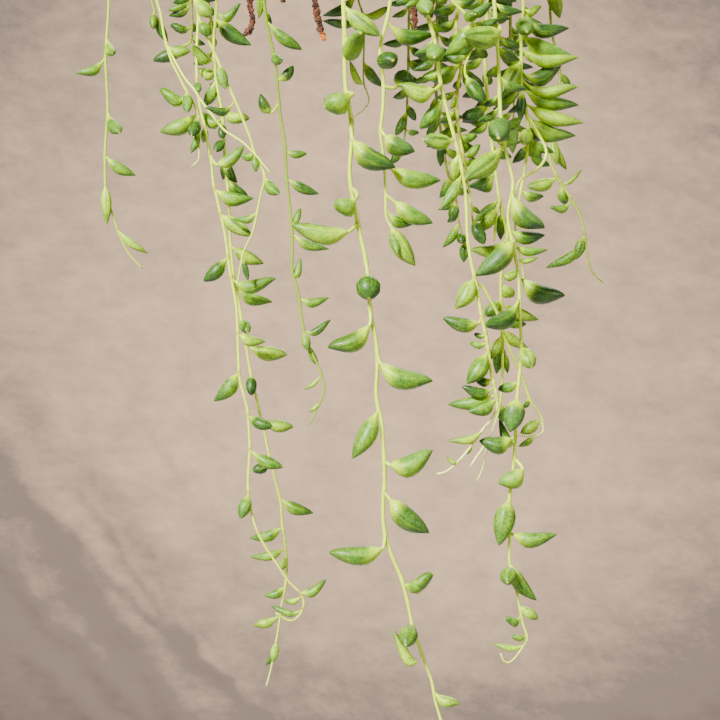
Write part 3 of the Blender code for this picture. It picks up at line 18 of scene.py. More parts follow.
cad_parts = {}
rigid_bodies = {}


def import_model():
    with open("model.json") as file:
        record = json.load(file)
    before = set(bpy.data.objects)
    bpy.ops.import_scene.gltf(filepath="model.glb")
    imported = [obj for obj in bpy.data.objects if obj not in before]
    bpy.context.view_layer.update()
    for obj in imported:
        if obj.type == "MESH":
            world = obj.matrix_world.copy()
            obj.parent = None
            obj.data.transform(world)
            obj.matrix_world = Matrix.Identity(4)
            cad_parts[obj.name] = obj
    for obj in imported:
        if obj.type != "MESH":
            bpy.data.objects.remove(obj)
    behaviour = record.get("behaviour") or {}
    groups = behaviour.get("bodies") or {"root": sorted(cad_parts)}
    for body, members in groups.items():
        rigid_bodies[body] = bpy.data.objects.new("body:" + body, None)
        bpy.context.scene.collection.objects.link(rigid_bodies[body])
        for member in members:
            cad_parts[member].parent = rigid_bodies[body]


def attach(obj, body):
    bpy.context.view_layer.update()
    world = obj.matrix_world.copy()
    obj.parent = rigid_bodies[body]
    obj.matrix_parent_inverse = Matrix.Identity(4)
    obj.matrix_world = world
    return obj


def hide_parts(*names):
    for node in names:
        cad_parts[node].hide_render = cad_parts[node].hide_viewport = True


bl_info = {
    "name": "Hanging trailing succulent",
    "version": (1, 0, 0),
    "blender": (4, 5, 0),
    "location": "3D View > Sidebar > Succulent",
    "description": "Finishes the packed hanging pot of a trailing succulent",
    "category": "Add Mesh",
}

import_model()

MM = 0.001
SAG_SHARE = 0.8

# Pot, soil and hanger, in millimetres
POT_RIM_Z = -300.0
POT_HEIGHT = 120.0
POT_RIM_RADIUS = 84.0
POT_BASE_RADIUS = 60.0
POT_WALL = 2.0
POT_FLOOR = 2.5
FLANGE_RADIUS = 91.0
FLANGE_THICKNESS = 2.5
DRAIN_HOLES = 6
DRAIN_RADIUS = 6.0
DRAIN_CIRCLE = 40.0
DRAIN_START = 30.0
SOIL_BELOW_RIM = 12.0
SOIL_CROWN = 2.5
WIRE_RADIUS = 1.25
WIRE_CIRCLE = 87.0
WIRE_ANGLES = (15.0, 135.0, 255.0)
WIRE_HOLE_RADIUS = 2.0
WIRE_HOOK_RADIUS = 3.0
WIRE_HOOK_RISE = 1.0
FERRULE_TOP = -45.0
FERRULE_LENGTH = 16.0
FERRULE_RADIUS = 6.0
FERRULE_WIRE_CIRCLE = 3.4
FERRULE_WIRE_DEPTH = 4.0
HOOK_WIRE = 2.0
HOOK_BEND = 15.0
HOOK_JOIN_ANGLE = 66.0
HOOK_END_ANGLE = 205.0
POT_BOTTOM_Z = POT_RIM_Z - POT_HEIGHT
SOIL_Z = POT_RIM_Z - SOIL_BELOW_RIM

# The view that the stems were read from: a level camera in front of the plant, at -Y.
# u runs right and v down from the photograph's top edge, in millimetres on the pot's axis plane.
VIEW_DISTANCE = 1000.0
VIEW_U = 6.45
VIEW_V = 154.8
PHOTO_TOP_Z = POT_BOTTOM_Z - 32.0
VIEW_Z = PHOTO_TOP_Z - VIEW_V

PHOTO_MARGIN = 1.0

# Leafy stems, in millimetres
STEM_RADIUS = 1.15
STEM_SAMPLE = 1.5
CLUMP_SIZE = 3
CLUMP_RADIUS = 52.0
CLUMP_SPREAD = 2.3
HOLE_DEPTH = 8.0
RIM_SPACING = 6.4
CLEARANCE = 0.55
RULE_SPACING = 27.0
RULE_LENGTH = (18.0, 25.0)
RULE_WIDTH = 0.33
RULE_SAG = 0.12
RULE_OUT = 0.86
RULE_ALONG = 0.3
RULE_FALL = (0.0, 0.0, -0.12)
RULE_SIZES = (1.0, 0.8)
RULE_JITTER = 0.15
RULE_TURN = 137.5
RULE_TURN_JITTER = 20.0
RULE_START = 22.0
RULE_END = 12.0
TUFT_START = 17.0
TUFT_SPACING = 6.5
TURN_TRIES = (0.0, 35.0, -35.0, 70.0, -70.0, 110.0, -110.0, 150.0)
DEPTH_TRIES = (0.0, 3.0, -3.0, 6.0, -6.0, 9.0, -9.0, 12.0, -12.0)
SHRINK_TRIES = (1.0, 0.85, 0.7)
LONGEST_BEAD = 29.0
SEED = 11
SECTION = 1.2
BEAD_SPHERES = 9
REACH = 10.0
BIG_BEAD = 7.8
PROFILE_SMALL = ((0.34, 0.78), (0.7, 0.92))
PROFILE_BIG = ((0.24, 0.42), (0.5, 1.0), (0.8, 0.72))

# How a stem climbs out and over: part of the way to the rim, part of the turn, height over the rim
ARCH_LINE = ((0.1, 0.1, 0.0), (0.45, 0.4, 5.6), (0.85, 0.9, 7.0), (1.08, 1.0, 6.4))
ARCH_LIFT = 2.5
OVER_RADIUS = 95.5
OVER_SHARE = 0.3
OVER_LINE = ((-1.0, 2.4), (0.0, -6.0))
DROP_STEP = 36.0
WAVE = 1.2
LINE_TOLERANCE = 0.8
SPREAD_ROUNDS = 300
CLUMP_TURNS = (-120.0, 0.0, 120.0)
TUFT_LINE = ((0.0, 0.0, -7.0), (0.0, 0.0, 6.0), (0.2, 3.0, 12.0), (0.6, 5.0, 14.5), (1.0, 2.0, 10.0))

WELD = 0.002
WIRE_END_RISE = 3.5
WIRE_STRAIGHT = 3.0
HOOK_SEAT = 6.0
TAIL_RADIUS = 1.5
TAIL_MARGIN = 0.8
TAIL_STEP = 5.0
TAIL_SEAT = 5.0
STEM_STEP = 1.7
STEM_SIDES = 8
NODE_REACH = 2.2
POT_STEPS_FINE = 96
FERRULE_EDGE = 1.2
CRIMPS = (0.3, 0.5, 0.7)
CRIMP_DEPTH = 0.45
SOIL_GAP = 0.3
SOIL_LUMPS = 90
ROOT_CRUMBS = 800000.0
SOIL_RINGS = 22
SOIL_STEPS = 96

# Stage, in metres: each light's place, size, power and colour
CAMERA_SENSOR = 36.0
PICTURE_WIDTH = 309.6
STAGE_AIM = (0.0, 0.0, -0.55)
ROOM_TOP = 5.0
ROOM_STEPS = 96
FLOOR_GLOW = 0.35
WORLD_LIGHT = 0.34
STAGE_LIGHTS = (("key", (-1.7, -2.5, 1.5), 1.0, 620.0, (1.0, 0.98, 0.94)),
                ("fill", (2.9, -2.2, 0.2), 2.0, 62.0, (1.0, 0.97, 0.93)),
                ("back", (0.8, 2.8, 1.6), 1.8, 60.0, (1.0, 0.98, 0.9)),
                ("low", (-1.2, -1.8, -1.7), 1.6, 14.0, (1.0, 0.96, 0.9)))

# Folds of the backdrop, drawn as painted light and painted shade on their two sides, in half pictures: start
# (right, up), slope, width, first, last and depth
BACKDROP_HALF = 1.16
FOLDS = ((-1.0, -0.22, 1.45, 0.055, -0.4, 1.6, 0.42), (-1.0, -0.55, 1.05, 0.035, -0.2, 1.4, 0.42),
         (-0.98, -0.3, 0.95, 0.022, 0.1, 1.3, 0.3), (-0.9, -0.1, 1.2, 0.05, -0.2, 0.9, 0.22),
         (-0.64, -0.08, 1.9, 0.02, 0.0, 0.5, 0.2), (-1.0, -0.75, 0.8, 0.04, -0.1, 1.2, 0.3),
         (-0.84, -0.28, 1.3, 0.018, 0.0, 1.1, 0.24), (-0.4, -0.72, 0.35, 0.04, -0.3, 1.2, 0.15),
         (0.2, -0.86, 0.2, 0.04, -0.3, 0.9, 0.2))

# Looks of a bead, as (pale, dark, bloom, stripe); the "o" tone is the olive of beads in shade, a painted
# shade
TONES = {"p": (0.75, 0.0, 0.12, 0.3), "y": (0.8, 0.0, 0.0, 0.12), "m": (0.08, 0.16, 0.2, 0.14),
         "d": (0.0, 0.78, 0.14, 0.12), "t": (0.0, 0.8, 0.5, 0.05), "o": (0.08, 0.4, 0.0, 0.1),
         "b": (0.22, 0.1, 0.7, 0.15), "s": (0.45, 0.0, 0.15, 0.8)}
RULE_TONES = "mmmdobpy"
# Beads hidden behind the read ones take mostly dark tones, as painted shade
SHADED_HIDDEN_TONES = "ddddttmo"
ROLLS = {"s": 65.0, "p": 35.0, "b": 0.0}

# How thick each stem really is beside its plain shape, and where its pale end starts
THICKNESS = {"stem_front": 0.76, "stem_front_short": 0.72, "stem_right_front": 0.7, "stem_far_left": 0.58,
             "stem_left_slant": 0.52, "stem_left_front": 0.52, "stem_low_left": 0.56,
             "stem_low_left_inner": 0.56, "stem_back_soft": 0.7}
THICKNESS_ELSE = 0.64
PALE_ENDS = {"stem_right_front": 168.0, "stem_right_inner": 172.0, "stem_low_left_inner": 284.0}
NO_PALE_END = 999.0

# Beads whose foot stands off the stem, by the u and v of the tip that was read:
# foot u and v, tip u and v, depth of foot and tip from the stem, width, sag and tone
SHAPED = {}
for row in """
-9.4 45.7 3.4 40.6 -9.2 45.9 -4 -7 10.2 1.0 b, 22 72 3.6 60.5 21.6 72.6 -4 -4 9.6 2.0 d,
-4.9 89.6 5.4 84.4 -4.9 89.4 -4 -6 9.4 2.6 b, -24 97 1.2 99.8 -23.7 97.0 -4 -5 8.4 1.6 s,
10.2 125 9.8 117.6 10.3 128.6 -2 -9 9.6 0.0 d, -8.1 150 10.6 140.0 -7.8 149.9 -2 -4 8.4 2.8 o,
38 164.1 15.2 156.3 37.9 164.3 -3 -4 9.0 2.8 m, 38.1 193.7 19.4 200.0 38.0 193.9 -2 -2 9.4 2.4 b,
36.1 229.7 19.6 215.0 36.1 229.6 -2 -2 9.2 0.6 d, -7.7 238.2 16.0 236.2 -7.5 237.9 -2 -2 8.0 1.4 m,
41.4 77.8 20.4 73.2 41.3 78.0 0 0 8.2 1.0 m, 38.1 96.6 21.6 87.0 37.8 96.4 0 -1 7.4 0.6 m,
29.5 66.4 17.2 58.4 30.0 65.6 -2 -3 8.2 0.6 t, 27.7 30.2 21.6 37.8 27.6 30.4 1 2 8.4 0.0 d,
22.8 36 38.6 38.6 23.2 36.4 -4 -5 7.6 2.2 p, 50.1 15.4 66.6 13.6 50.6 15.8 -7 -18 9.4 1.4 s,
86.1 98.3 72.0 84.6 85.8 98.6 -3 -4 9.2 3.0 t, 94.8 128.6 76.4 120.4 94.7 127.6 -2 -2 9.0 2.6 d,
55.8 118.8 72.4 104.0 56.3 119.0 -4 -5 9.4 0.4 t, 41.2 137.2 57.6 139.0 41.7 137.0 0 0 6.6 1.0 d,
69.6 184.8 74.2 171.8 70.9 186.0 -4 -6 8.4 0.0 t, 57.1 189.8 71.6 188.8 57.5 190.0 -3 -3 7.8 1.6 d,
65.3 208.1 76.6 202.2 65.8 208.2 -3 -4 7.8 0.8 b, -36.1 42.2 -32.2 48.8 -36.6 40.2 0 0 5.6 0.6 d,
-21.7 28 -28.0 34.6 -21.9 28.2 0 0 5.8 0.0 d, -43.1 62.8 -54.8 71.0 -43.0 62.8 -4 -4 5.6 1.0 b""".split(","):
    *numbers, tone = row.split()
    numbers = tuple(map(float, numbers))
    SHAPED[numbers[:2]] = (*numbers[2:], tone)

# Stems that carry more beads behind the read ones: first and last height in the picture, spacing
HIDDEN = {"stem_right_inner": (-14, 74, 5), "stem_right_long": (-14, 52, 6), "stem_right_fan": (-16, 66, 5),
          "stem_right_second": (-14, 60, 6), "stem_right_cross": (-12, 26, 6),
          "stem_right_front": (-14, 30, 7), "stem_right_behind": (-14, 58, 5),
          "stem_right_olive": (-14, 90, 6), "stem_back_twin": (-14, 40, 6),
          "stem_left_behind": (-12, 18, 7), "stem_left_dark": (-12, 30, 7)}

# Each run is a route of rows of u and v with its depth at both ends, and its beads as rows of
# u and v at the root, u and v at the tip, depth of the tip from the root, width and sag, and a tone
# for each bead. A run with start "soil" climbs out of the pot, and "branch" leaves its node's trunk.
RUNS = []


def rows_of(text):
    """Rows of numbers, which commas part."""
    return [tuple(float(number) for number in row.split()) for row in text.split(",") if row.strip()]


def run(node, start, depths, route, beads, tones, radius=STEM_RADIUS):
    """Note one run of stem, the beads that were read along it and their tones."""
    RUNS.append({"node": node, "start": start, "depths": depths, "route": rows_of(route),
                 "beads": rows_of(beads), "tones": tones, "radius": radius})


run("stem_far_left", "soil", (0, 0), """
-101.5 -6, -101.7 4, -102.3 14, -103 25, -102.4 37, -102 48, -102.6 56, -103.2 66, -103 80,
-101.8 86, -100 92, -97 101, -93 109, -89.5 113, -87 115.5""", """
-101.5 -8 -89.5 -4 0 7 4, -102.4 16 -99.8 23.5 -13 5 3, -103 24 -115.7 31.9 -2 5.2 3,
-102 48 -96.8 57.5 -12 6 2, -103.2 66.5 -90 75.8 0 5.6 1, -103 79 -102.3 97 -3 4.6 0,
-98 98 -84.7 109.2 0 4.2 1""", "ppmmmyy")

run("stem_left_back", "soil", (45, 45), """
-85.5 -10, -83.3 0, -81.5 6""", """
-81.8 5 -82.4 12.8 -4 4 0, -81.5 6 -76.4 18.2 1 5 0""", "oo")

run("stem_left_front", "soil", (-74, -82), """
-82 -6, -81 0, -79.3 6, -78 14, -76.5 20, -74.7 26, -71.8 32, -69.3 37, -67 41, -64.8 45, -63.2 50,
-62.6 57, -62.8 64, -63.1 69, -66 71.5""", """
-76.5 19.5 -66.3 22.3 -1 4.8 1.5, -67.8 39 -67.8 49 -6 4.6 0, -66.8 41.5 -80 38.4 2 6.8 4,
-63.8 48 -79.7 57.3 0 7.4 1, -63 51 -66.1 58.5 -6 5.2 0, -62.7 56 -66.3 66.2 -2 3.4 0""", "pmmmdm")

run("stem_left_front", "branch", (-78.5, -99), """
-76.5 20, -73.8 25, -71.6 29, -69.3 33, -67 36, -64.6 38.7, -62.8 42, -60.3 45.3, -57.5 49, -54.5 53,
-51.5 56.3, -48 58.6, -44 61.2, -41 64, -38.5 66.6, -36 69.6, -32 74.6""", "", "", 1.0)

run("stem_left_behind", "soil", (66, 66), """
-66 -6, -66 4, -65.7 10, -66.2 18, -65.2 24""", """
-66 -3 -74 1.6 2 5 1, -66 1 -76.4 4.7 0 3.4 1, -65.8 10.5 -75.4 10.8 0 6 2,
-66.2 18.5 -82.9 26.4 -2 7 1""", "dmdd")

run("stem_left_slant", "soil", (-91, -93), """
-65.2 -6, -64.5 0, -63.5 5, -62.3 9, -60.4 14, -58.4 18, -56 23, -54 27.5, -52 32, -50 37, -48 41.5,
-46 46, -44 51, -42 56, -40.5 60, -39.3 64.5, -37.4 69, -35.6 72.5, -34.5 76.5, -36 83, -37.5 90,
-38.7 96, -40.2 101, -42.2 105, -43.8 109, -45.2 115.5, -46.5 123""", """
-64.4 0 -57.2 7.4 -3 7 0, -62.8 8 -58.3 15.6 -3 6 0, -54.2 27 -51.4 38.6 -2 4.8 0,
-48 42 -60.5 46.6 2 4 4, -39 65 -44.4 67.7 -3 4.6 1, -38.8 66 -38.2 74.2 -2 2.8 0,
-34.6 76 -28.2 84.2 -9 5 1, -37.8 91 -48.1 94.6 3 3.6 2, -44.2 110 -41.6 120.8 0 2.4 0""", "pobdmmmmd")

run("stem_left_dark", "soil", (80, 76), """
-59.5 -6, -58.5 3, -57.6 9, -57 15, -56.7 21, -56.3 28, -55.5 35, -55 41, -54.3 46""", """
-57.5 9 -52.4 10.8 3 4.2 1, -55.3 37 -58 36 -4 3 1""", "dd")

run("stem_low_left", "soil", (-75, -95), """
-64 -6, -63.2 6, -63.4 14, -63.8 22, -63.8 30, -63.5 37, -63 42, -61.9 48, -60.4 54, -59.4 59,
-58.4 65, -57.2 71.5, -56.7 78, -55.3 84, -53.5 92, -51.7 100, -50.3 110, -49.5 116, -48.5 121.5,
-47.4 127, -46.6 133, -46.2 141, -45.9 151, -45.5 161, -44.6 166, -43.2 171, -41.8 177, -41.2 186,
-40.9 193, -41.4 201, -41.7 209, -40.8 217, -39.3 224, -36.8 230.5, -34 235.5, -31 240, -28 244.5,
-25 249, -22 252.3, -20 254, -18.4 256.3, -17.7 259.5, -18.4 262.5, -20 265, -22.5 266.8, -25 266.6,
-27.5 265, -29.8 263.6""", """
-63.7 34 -63 40 -7 3.6 0, -60.5 54 -60.8 61.6 -3 3.4 0, -57.6 67 -43.1 62.8 -4 5 6,
-56 81 -39.2 86 -2 6.8 1.5, -53.2 93 -39.6 102 -3 6.2 0, -50.4 110 -60.7 121.3 0 6.6 0,
-48.8 120 -29.4 120 -3 6.6 3.5, -46 143 -34.2 147.4 2 4.8 1, -45.6 160 -56.2 173.2 -1 6.8 0,
-41.5 179 -31.2 184 -4 6.2 1, -40.9 192.5 -26.6 201.4 -3 5.6 1, -41.8 211 -45 223.4 -4 5.4 0,
-20 254 -7.6 249.5 0 4.6 2, -18.5 256.5 -26 258.9 3 3 1, -18.2 261.5 -32.1 260.8 3 3.2 2.5,
-28.8 264.3 -39.6 269 0 4.4 1""", "mmpmsdmpmdmmmymy")

run("stem_low_left_inner", "soil", (-80, -68), """
-55.5 -6, -55.2 2, -55.8 10, -56.4 17, -56.2 25, -55.6 32, -54.6 39, -53.3 46, -52.4 53, -52 60,
-51.7 67, -51 75, -50.2 83, -49.7 92, -49.4 101, -48.9 109, -48 117, -46.9 124, -45.5 131, -44.4 138,
-43 145, -42 152, -40.8 159, -39 167, -37.3 175, -35.2 183, -33.8 190, -32.2 197.5, -30.5 204.5,
-28.8 211, -27.5 217, -27 225, -25.9 232.5, -25.2 240, -25.1 247, -26 254, -27.4 260.5, -28.2 267,
-29.3 274, -30.5 281, -32.2 289, -33.8 295""", """
-55.3 5 -44.4 1.8 -1 4.8 4, -55.6 8 -40.4 20.1 -3 7.2 0, -56.2 25 -66.1 19.4 -3 5 3,
-55.6 31 -62.8 29.8 3 5 2, -55.2 34 -60.2 45.8 2 5.2 0, -53 48 -41 51.2 -2 6.2 2,
-52.8 50 -62.2 48.8 3 5.6 3, -52.4 53 -53 59.8 -4 4.2 0, -51.9 60 -55.8 65 -4 4.8 0,
-51.6 67 -52.4 77.6 4 3.8 0, -51.4 70 -46.7 79 2 4.8 0, -50.8 77 -41.6 84.7 3 5 1,
-49.2 106 -34.9 113.7 2 6.4 0, -47 123 -31.2 130.3 1 5.8 2.5, -44.4 138 -41.7 143.2 -8 5.2 0,
-42.6 148 -24.7 152.8 0 6.4 1.5, -40.8 160 -40.2 170.2 -4 5.2 0, -35.6 181 -22.1 183.8 1 5.6 1,
-32 198 -39.8 202.8 -3 5.6 1, -28 213.5 -13.6 221 0 5.8 1, -27 226 -41.1 231.8 3 5.4 1,
-25.7 236 -41.1 240 3 4.6 1, -25.2 240 -27.5 245 -5 3.8 0, -25.9 252 -34.8 256.7 0 4.4 1,
-29.5 276 -31 285.2 -3 3.4 0, -30.3 280 -34 286.2 2 2.4 0""", "mdspmymdddddpmmpdpdmmmpmyd")

run("stem_back_soft", "soil", (88, 84), """
-35.4 -8, -34.8 0, -34 7, -32.5 15, -31 22, -29.6 30, -28.8 40, -27.7 50, -26 60, -25.5 70, -24.8 80,
-23.7 89, -22.8 99, -22.6 108, -22.8 116.5, -21 122.5, -19.5 129, -18.8 135, -17.7 142, -16 147.5,
-13.4 153.5, -11.2 158, -9.8 162.5, -8.7 167, -9.8 170.8, -11.7 175, -13.4 179, -15.8 182.8""", """
-35.2 -7 -37 8.2 2 4.8 0, -34.2 4 -31.5 10.4 3 3.2 0, -33.6 9 -18.5 21.7 -1 7 1,
-30.8 23 -27.4 27 -9 5.2 1, -29.3 32.5 -21.7 28 0 5.6 5, -28.4 44 -36.1 42.2 0 6.2 9,
-25.8 64 -16.3 66.2 0 5.2 1.5, -25 77 -11.1 83.7 0 5.6 0, -23 95 -19 89.5 2 4.2 3,
-22.8 100.5 -6.7 107.6 2 5.4 2, -22.7 117.5 -18.8 111 2 4.2 4, -19.5 129 -6.6 128.4 0 5.2 2,
-17.9 141.3 -5.8 137.5 0 4.6 3, -17.7 142 -16 151 -3 4.2 0, -15.6 148.5 -11.4 157.6 3 3.8 0,
-10.2 161.4 -17.8 167.9 0 2.8 1, -11 173 -15.6 177.4 0 2.6 0""", "pdmmmmmdmmmmdmmyy")

run("stem_front", "soil", (-97, -99), """
-1 -6, -0.6 3, -0.3 12, -0.3 22, 0 32, 0.4 38.5, 1.8 46, 2.9 53, 2.8 62, 2.2 69, 2.1 76.5, 3.2 84,
4.8 92, 6.4 100.5, 8.4 109, 9.7 118, 10.2 126, 11 134.5, 12.6 143, 13.8 151, 13.9 159, 13.4 169,
14.2 175, 15.7 181, 16.3 190, 16.9 198, 17 207, 16.4 217, 16.7 226, 18.3 233.5, 21 241, 24 248,
25.8 254, 27.6 262, 29 269, 32 278, 34.6 285.5, 37.3 293, 39 302, 41.3 310, 43.2 318, 44.8 327,
45.5 336""", """
-0.6 1.5 15.3 15.9 -4 7.4 1, -0.3 10 7 14.4 -14 9.4 12, 0.5 38.8 -9.4 45.7 -9 9.6 5,
1.6 45 -9.5 43 6 4.2 2, 2.9 51 22 72 -3 9.2 3, 2.9 81.5 -4.9 89.6 -7 9.6 8, 5.7 96 -24 97 -4 8.2 8,
9 112.5 10.2 125 -17 9.4 1, 10.9 133.5 -8.1 150 -3 8.2 1, 13.9 152 38 164.1 -3 9.2 4,
14.8 177 3.1 197.7 -4 8.2 0, 17 198 38.1 193.7 0 8.2 6, 16.8 210.5 36.1 229.7 0 9.4 2,
17 229 -7.7 238.2 -2 7.6 4, 24.6 249.5 38.2 246.9 -4 7.6 4, 28.8 268.5 26 277.6 -13 8.4 0,
33 280.3 20.1 271 4 4.8 8, 38.2 297 49.5 303 -3 5 2, 41.5 311 32 320 -4 5.4 2,
44 322.5 53.5 331 0 4.4 1""", "sbbdmbmbmmmmmmmmyppp")

run("stem_front_short", "soil", (-95, -93), """
20.2 -6, 19.4 1, 18.4 7, 17 12.5, 15.7 17.5, 15.1 22.5, 15.8 29, 16.6 37, 16.4 45, 15.7 52, 15.2 57,
16 63, 16.8 70, 17.2 78, 17.5 86, 17.7 93.5, 19.8 97.3, 21.5 99.6""", """
18.5 8 38.6 15.6 3 7.8 4, 15.2 23 20.8 26 -12 9.2 1, 16.6 37 27.7 30.2 1 7.4 7,
15.3 56.5 29.5 66.4 -4 8.6 2, 16.7 68.5 41.4 77.8 3 8 3, 17.4 83 38.1 96.6 0 7 2,
17.6 88 30.5 96.2 6 5.6 3, 19.8 97.3 30 114.7 -3 8.2 0, 20.4 98.4 22.7 109.6 -7 4.6 0""", "dddtmmoym")

run("stem_back_twin", "soil", (90, 88), """
27.8 -6, 27.5 8, 27.3 20, 27.2 31, 26.8 42, 26.4 52, 25.4 60, 23.5 66""", """
27.3 20 35.5 23.5 0 4.8 1, 27.2 26 36 26 4 3.8 1, 26.7 45 30.4 52 0 5.2 0,
26.6 47 21.8 58.6 -2 4.8 0, 26 56 31.9 57.2 0 4.2 1, 24.4 63 19.5 70.6 0 4.4 0""", "dddomo")

run("stem_back_curl", "soil", (97, 94), """
4.9 -6, 6 1, 7.6 6, 8.2 16, 8 27, 8.1 36, 9.6 40, 10.3 43.5, 8.4 46.8, 4 50""", """
5.1 -3 -9.5 7.4 -3 6 2, 7.5 5.5 19.5 3.2 0 4.8 3, 7.8 8 -9.6 9.2 2 5.2 2, 8 27 16.4 38 0 5.8 0,
8 37 1.8 26 0 4.2 3""", "dpdoy", 0.9)

run("stem_right_front", "soil", (-93, -97), """
31.8 -6, 33.5 1, 35.3 6, 37.2 12, 38.6 17, 39.5 22, 40.2 29, 41.2 36, 42.5 42, 44.2 48.5, 46.1 55.5,
48 62.5, 49.6 69, 50.8 76, 51.8 84, 52.3 91.5, 52.5 99, 53.3 107, 54.7 115, 56.4 122, 57.6 129.5,
59 137, 60.8 145, 61.7 151.5, 62.6 158.5, 64.3 166, 65.3 171.5, 65.1 176, 62.9 180.2, 59.9 183.9,
57.2 187.5, 54 192, 50.4 196.6, 46.6 200.4, 43 203, 39.4 203.8""", """
33.2 0 35.8 5.2 -10 7.8 0, 32.6 -2 25.6 3.2 -2 3.4 0, 39.3 20.5 38.5 24.8 -13 8.6 0,
41.2 36 22.8 36 -3 8 9, 40.7 32 33.2 33.4 4 4.8 1, 42.6 42 32.2 55.7 2 7 0, 47.2 59.5 33.4 60 -5 8 1,
48.6 65 47 79 3 5.4 0, 50.6 74.5 41.1 90.2 -4 5.8 0, 55.8 119 47.6 133.3 -3 7.4 0,
58.8 136 41.2 137.2 1 6.8 3, 60.5 143.5 55.4 143.7 4 3 1, 61 146.5 53.6 147.7 3 4 1,
61.7 151 52.5 165.5 -4 7.6 0, 63.2 162 55.5 163 4 5.2 2, 64.2 165.5 49.7 166.5 -2 5.8 3,
64.9 169 44 174.3 3 6.2 1, 65.3 172 52.9 177.5 -4 6.6 1, 60.6 183 43.9 190.1 -1 4 3,
55.3 190.2 51.3 195.8 2 2.4 0, 49.6 197.5 43.3 196.2 -1 2.2 1.5""", "bmbpomsybpmdmmddmmymy")

run("stem_right_front", "branch", (-94, -88), """
56.2 121.5, 58.4 122.6, 60.3 125, 62.3 128.6, 64.5 132.6, 66.2 136.4, 67.1 141""", "", "", 0.9)

run("stem_right_cross", "soil", (-99, -92), """
42 -7, 46 0, 50 4.2, 53 7.4, 55.6 10.6, 56.6 15, 55.2 19.5, 53.2 24, 51.6 28.5, 51.8 33.5""", """
51.8 6 56.3 6.2 -8 6.2 1, 55.2 10 43.2 24.9 -2 8.2 0, 56.4 13 47.1 25.4 4 6.6 0,
51.7 32 60.1 44.1 -3 7.6 1""", "mmod")

run("stem_right_second", "soil", (-86, -84), """
49.5 -6, 48.8 3, 47.9 10, 48.3 18, 49.6 25, 49.9 30, 48.7 36, 48 43, 48.3 50, 49.1 57, 50.3 64,
51.7 71, 52.8 78, 53.9 85.5, 54.7 93, 55.4 97.5""", """
49.8 27 33.1 33.3 3 8 2, 49.6 28 59.8 37.6 3 6.4 2, 48.1 41 45.3 47.2 0 2.8 0,
49.2 57 57 58.7 2 4.8 2, 50.4 66 58.2 62.2 1 4.6 2, 51 68.5 57.5 69 2 4.8 2, 54.2 88 58 91.8 2 3 0,
54.9 94.5 59.9 105.2 -4 6.2 0""", "mdpmmomd")

run("stem_right_olive", "soil", (88, 84), """
39.5 -6, 39.7 4, 39.6 15, 39.1 26, 39.1 38, 40 47, 41.3 57, 42.6 66, 44.1 74, 46.2 80.6, 47.8 86.5,
48.4 92, 49.4 97.5, 51.6 103.4""", """
39.7 -2 43.6 14.2 0 6.2 0, 39.3 23 29.3 23 0 4.8 1, 40.6 51 35 58.4 0 5.2 0,
41.9 60.5 41 71.8 0 4.6 0, 44.7 76 40.9 85.5 0 5.2 0, 47.9 87 45.8 95.2 0 6 0,
49 95.5 42.1 106.9 0 4.8 0, 50.3 100 50 104 -7 5.8 0, 51.5 103 51 113 0 4.8 0""", "ooodoomod")

run("stem_right_inner", "soil", (-74, -78), """
61 -6, 61 8, 60.6 16, 60.2 25, 60.6 34, 61.4 43, 62 51, 62.9 59, 63.8 67, 64.6 73.5, 65.4 79,
66.4 86, 68 93, 69.5 99, 69.8 104, 68.8 110, 67.4 116, 67 123, 67.2 131, 67.5 139, 67.6 147,
67.8 156, 67.5 165, 66.8 173, 65.3 179.5, 63.2 185.5, 61.5 190, 60.3 196, 58.9 202, 56.8 206.8""", """
61.6 45 50 51.4 -3 7.6 2, 62 49.5 52.9 52.5 3 5.6 2, 64.5 74 53.9 81 3 6.2 4,
66.3 86 55.7 95.3 0 5.2 0, 66.7 88 57.3 99.7 -3 5.6 0, 67.4 91 66.8 103.2 3 4.8 0,
69.8 101.5 53.8 108 -3 6.2 4, 67.2 118 75 117 3 5 1.5, 67.1 121 72.7 127.5 3 6.4 1,
67.2 129 60.3 136 -3 6.4 0, 67.3 131 83.3 137.8 4 5.6 0, 67.5 137 78 139.6 6 4.6 1,
67.6 142.5 78.7 150.2 3 5 0, 67.6 144 61.9 155.2 -3 4.2 0, 67.7 148 65 160.8 3 5.4 0,
67.8 150 70 160.6 3 3.2 0, 66.9 172 67.6 182.2 3 3.6 0""", "dodmyopppmpopympm")

run("stem_right_inner", "branch", (-78, -76), """
66 85.5, 65.5 91, 64.7 97, 64.1 103.6""", "", "", 0.9)

run("stem_right_inner", "branch", (-79, -75), """
67.6 143, 70.3 149, 73 155, 75.7 161, 77.2 165, 78.6 169.3, 80 172.9, 82.2 176, 84.3 179, 85 182.4,
85.3 185.4, 82.5 187.4, 78 187.8, 74.5 187""", """
79.4 171.5 77 175.8 -2 2.4 1, 84.3 179.2 75.4 186.5 0 5 0, 81.5 187.5 74.5 192.2 1 3.2 0""", "mpm", 0.9)

run("stem_right_inner", "branch", (-79, -82), """
63.2 185.5, 60 191.5, 56.6 196.5, 53.6 200.8""", "", "", 0.8)

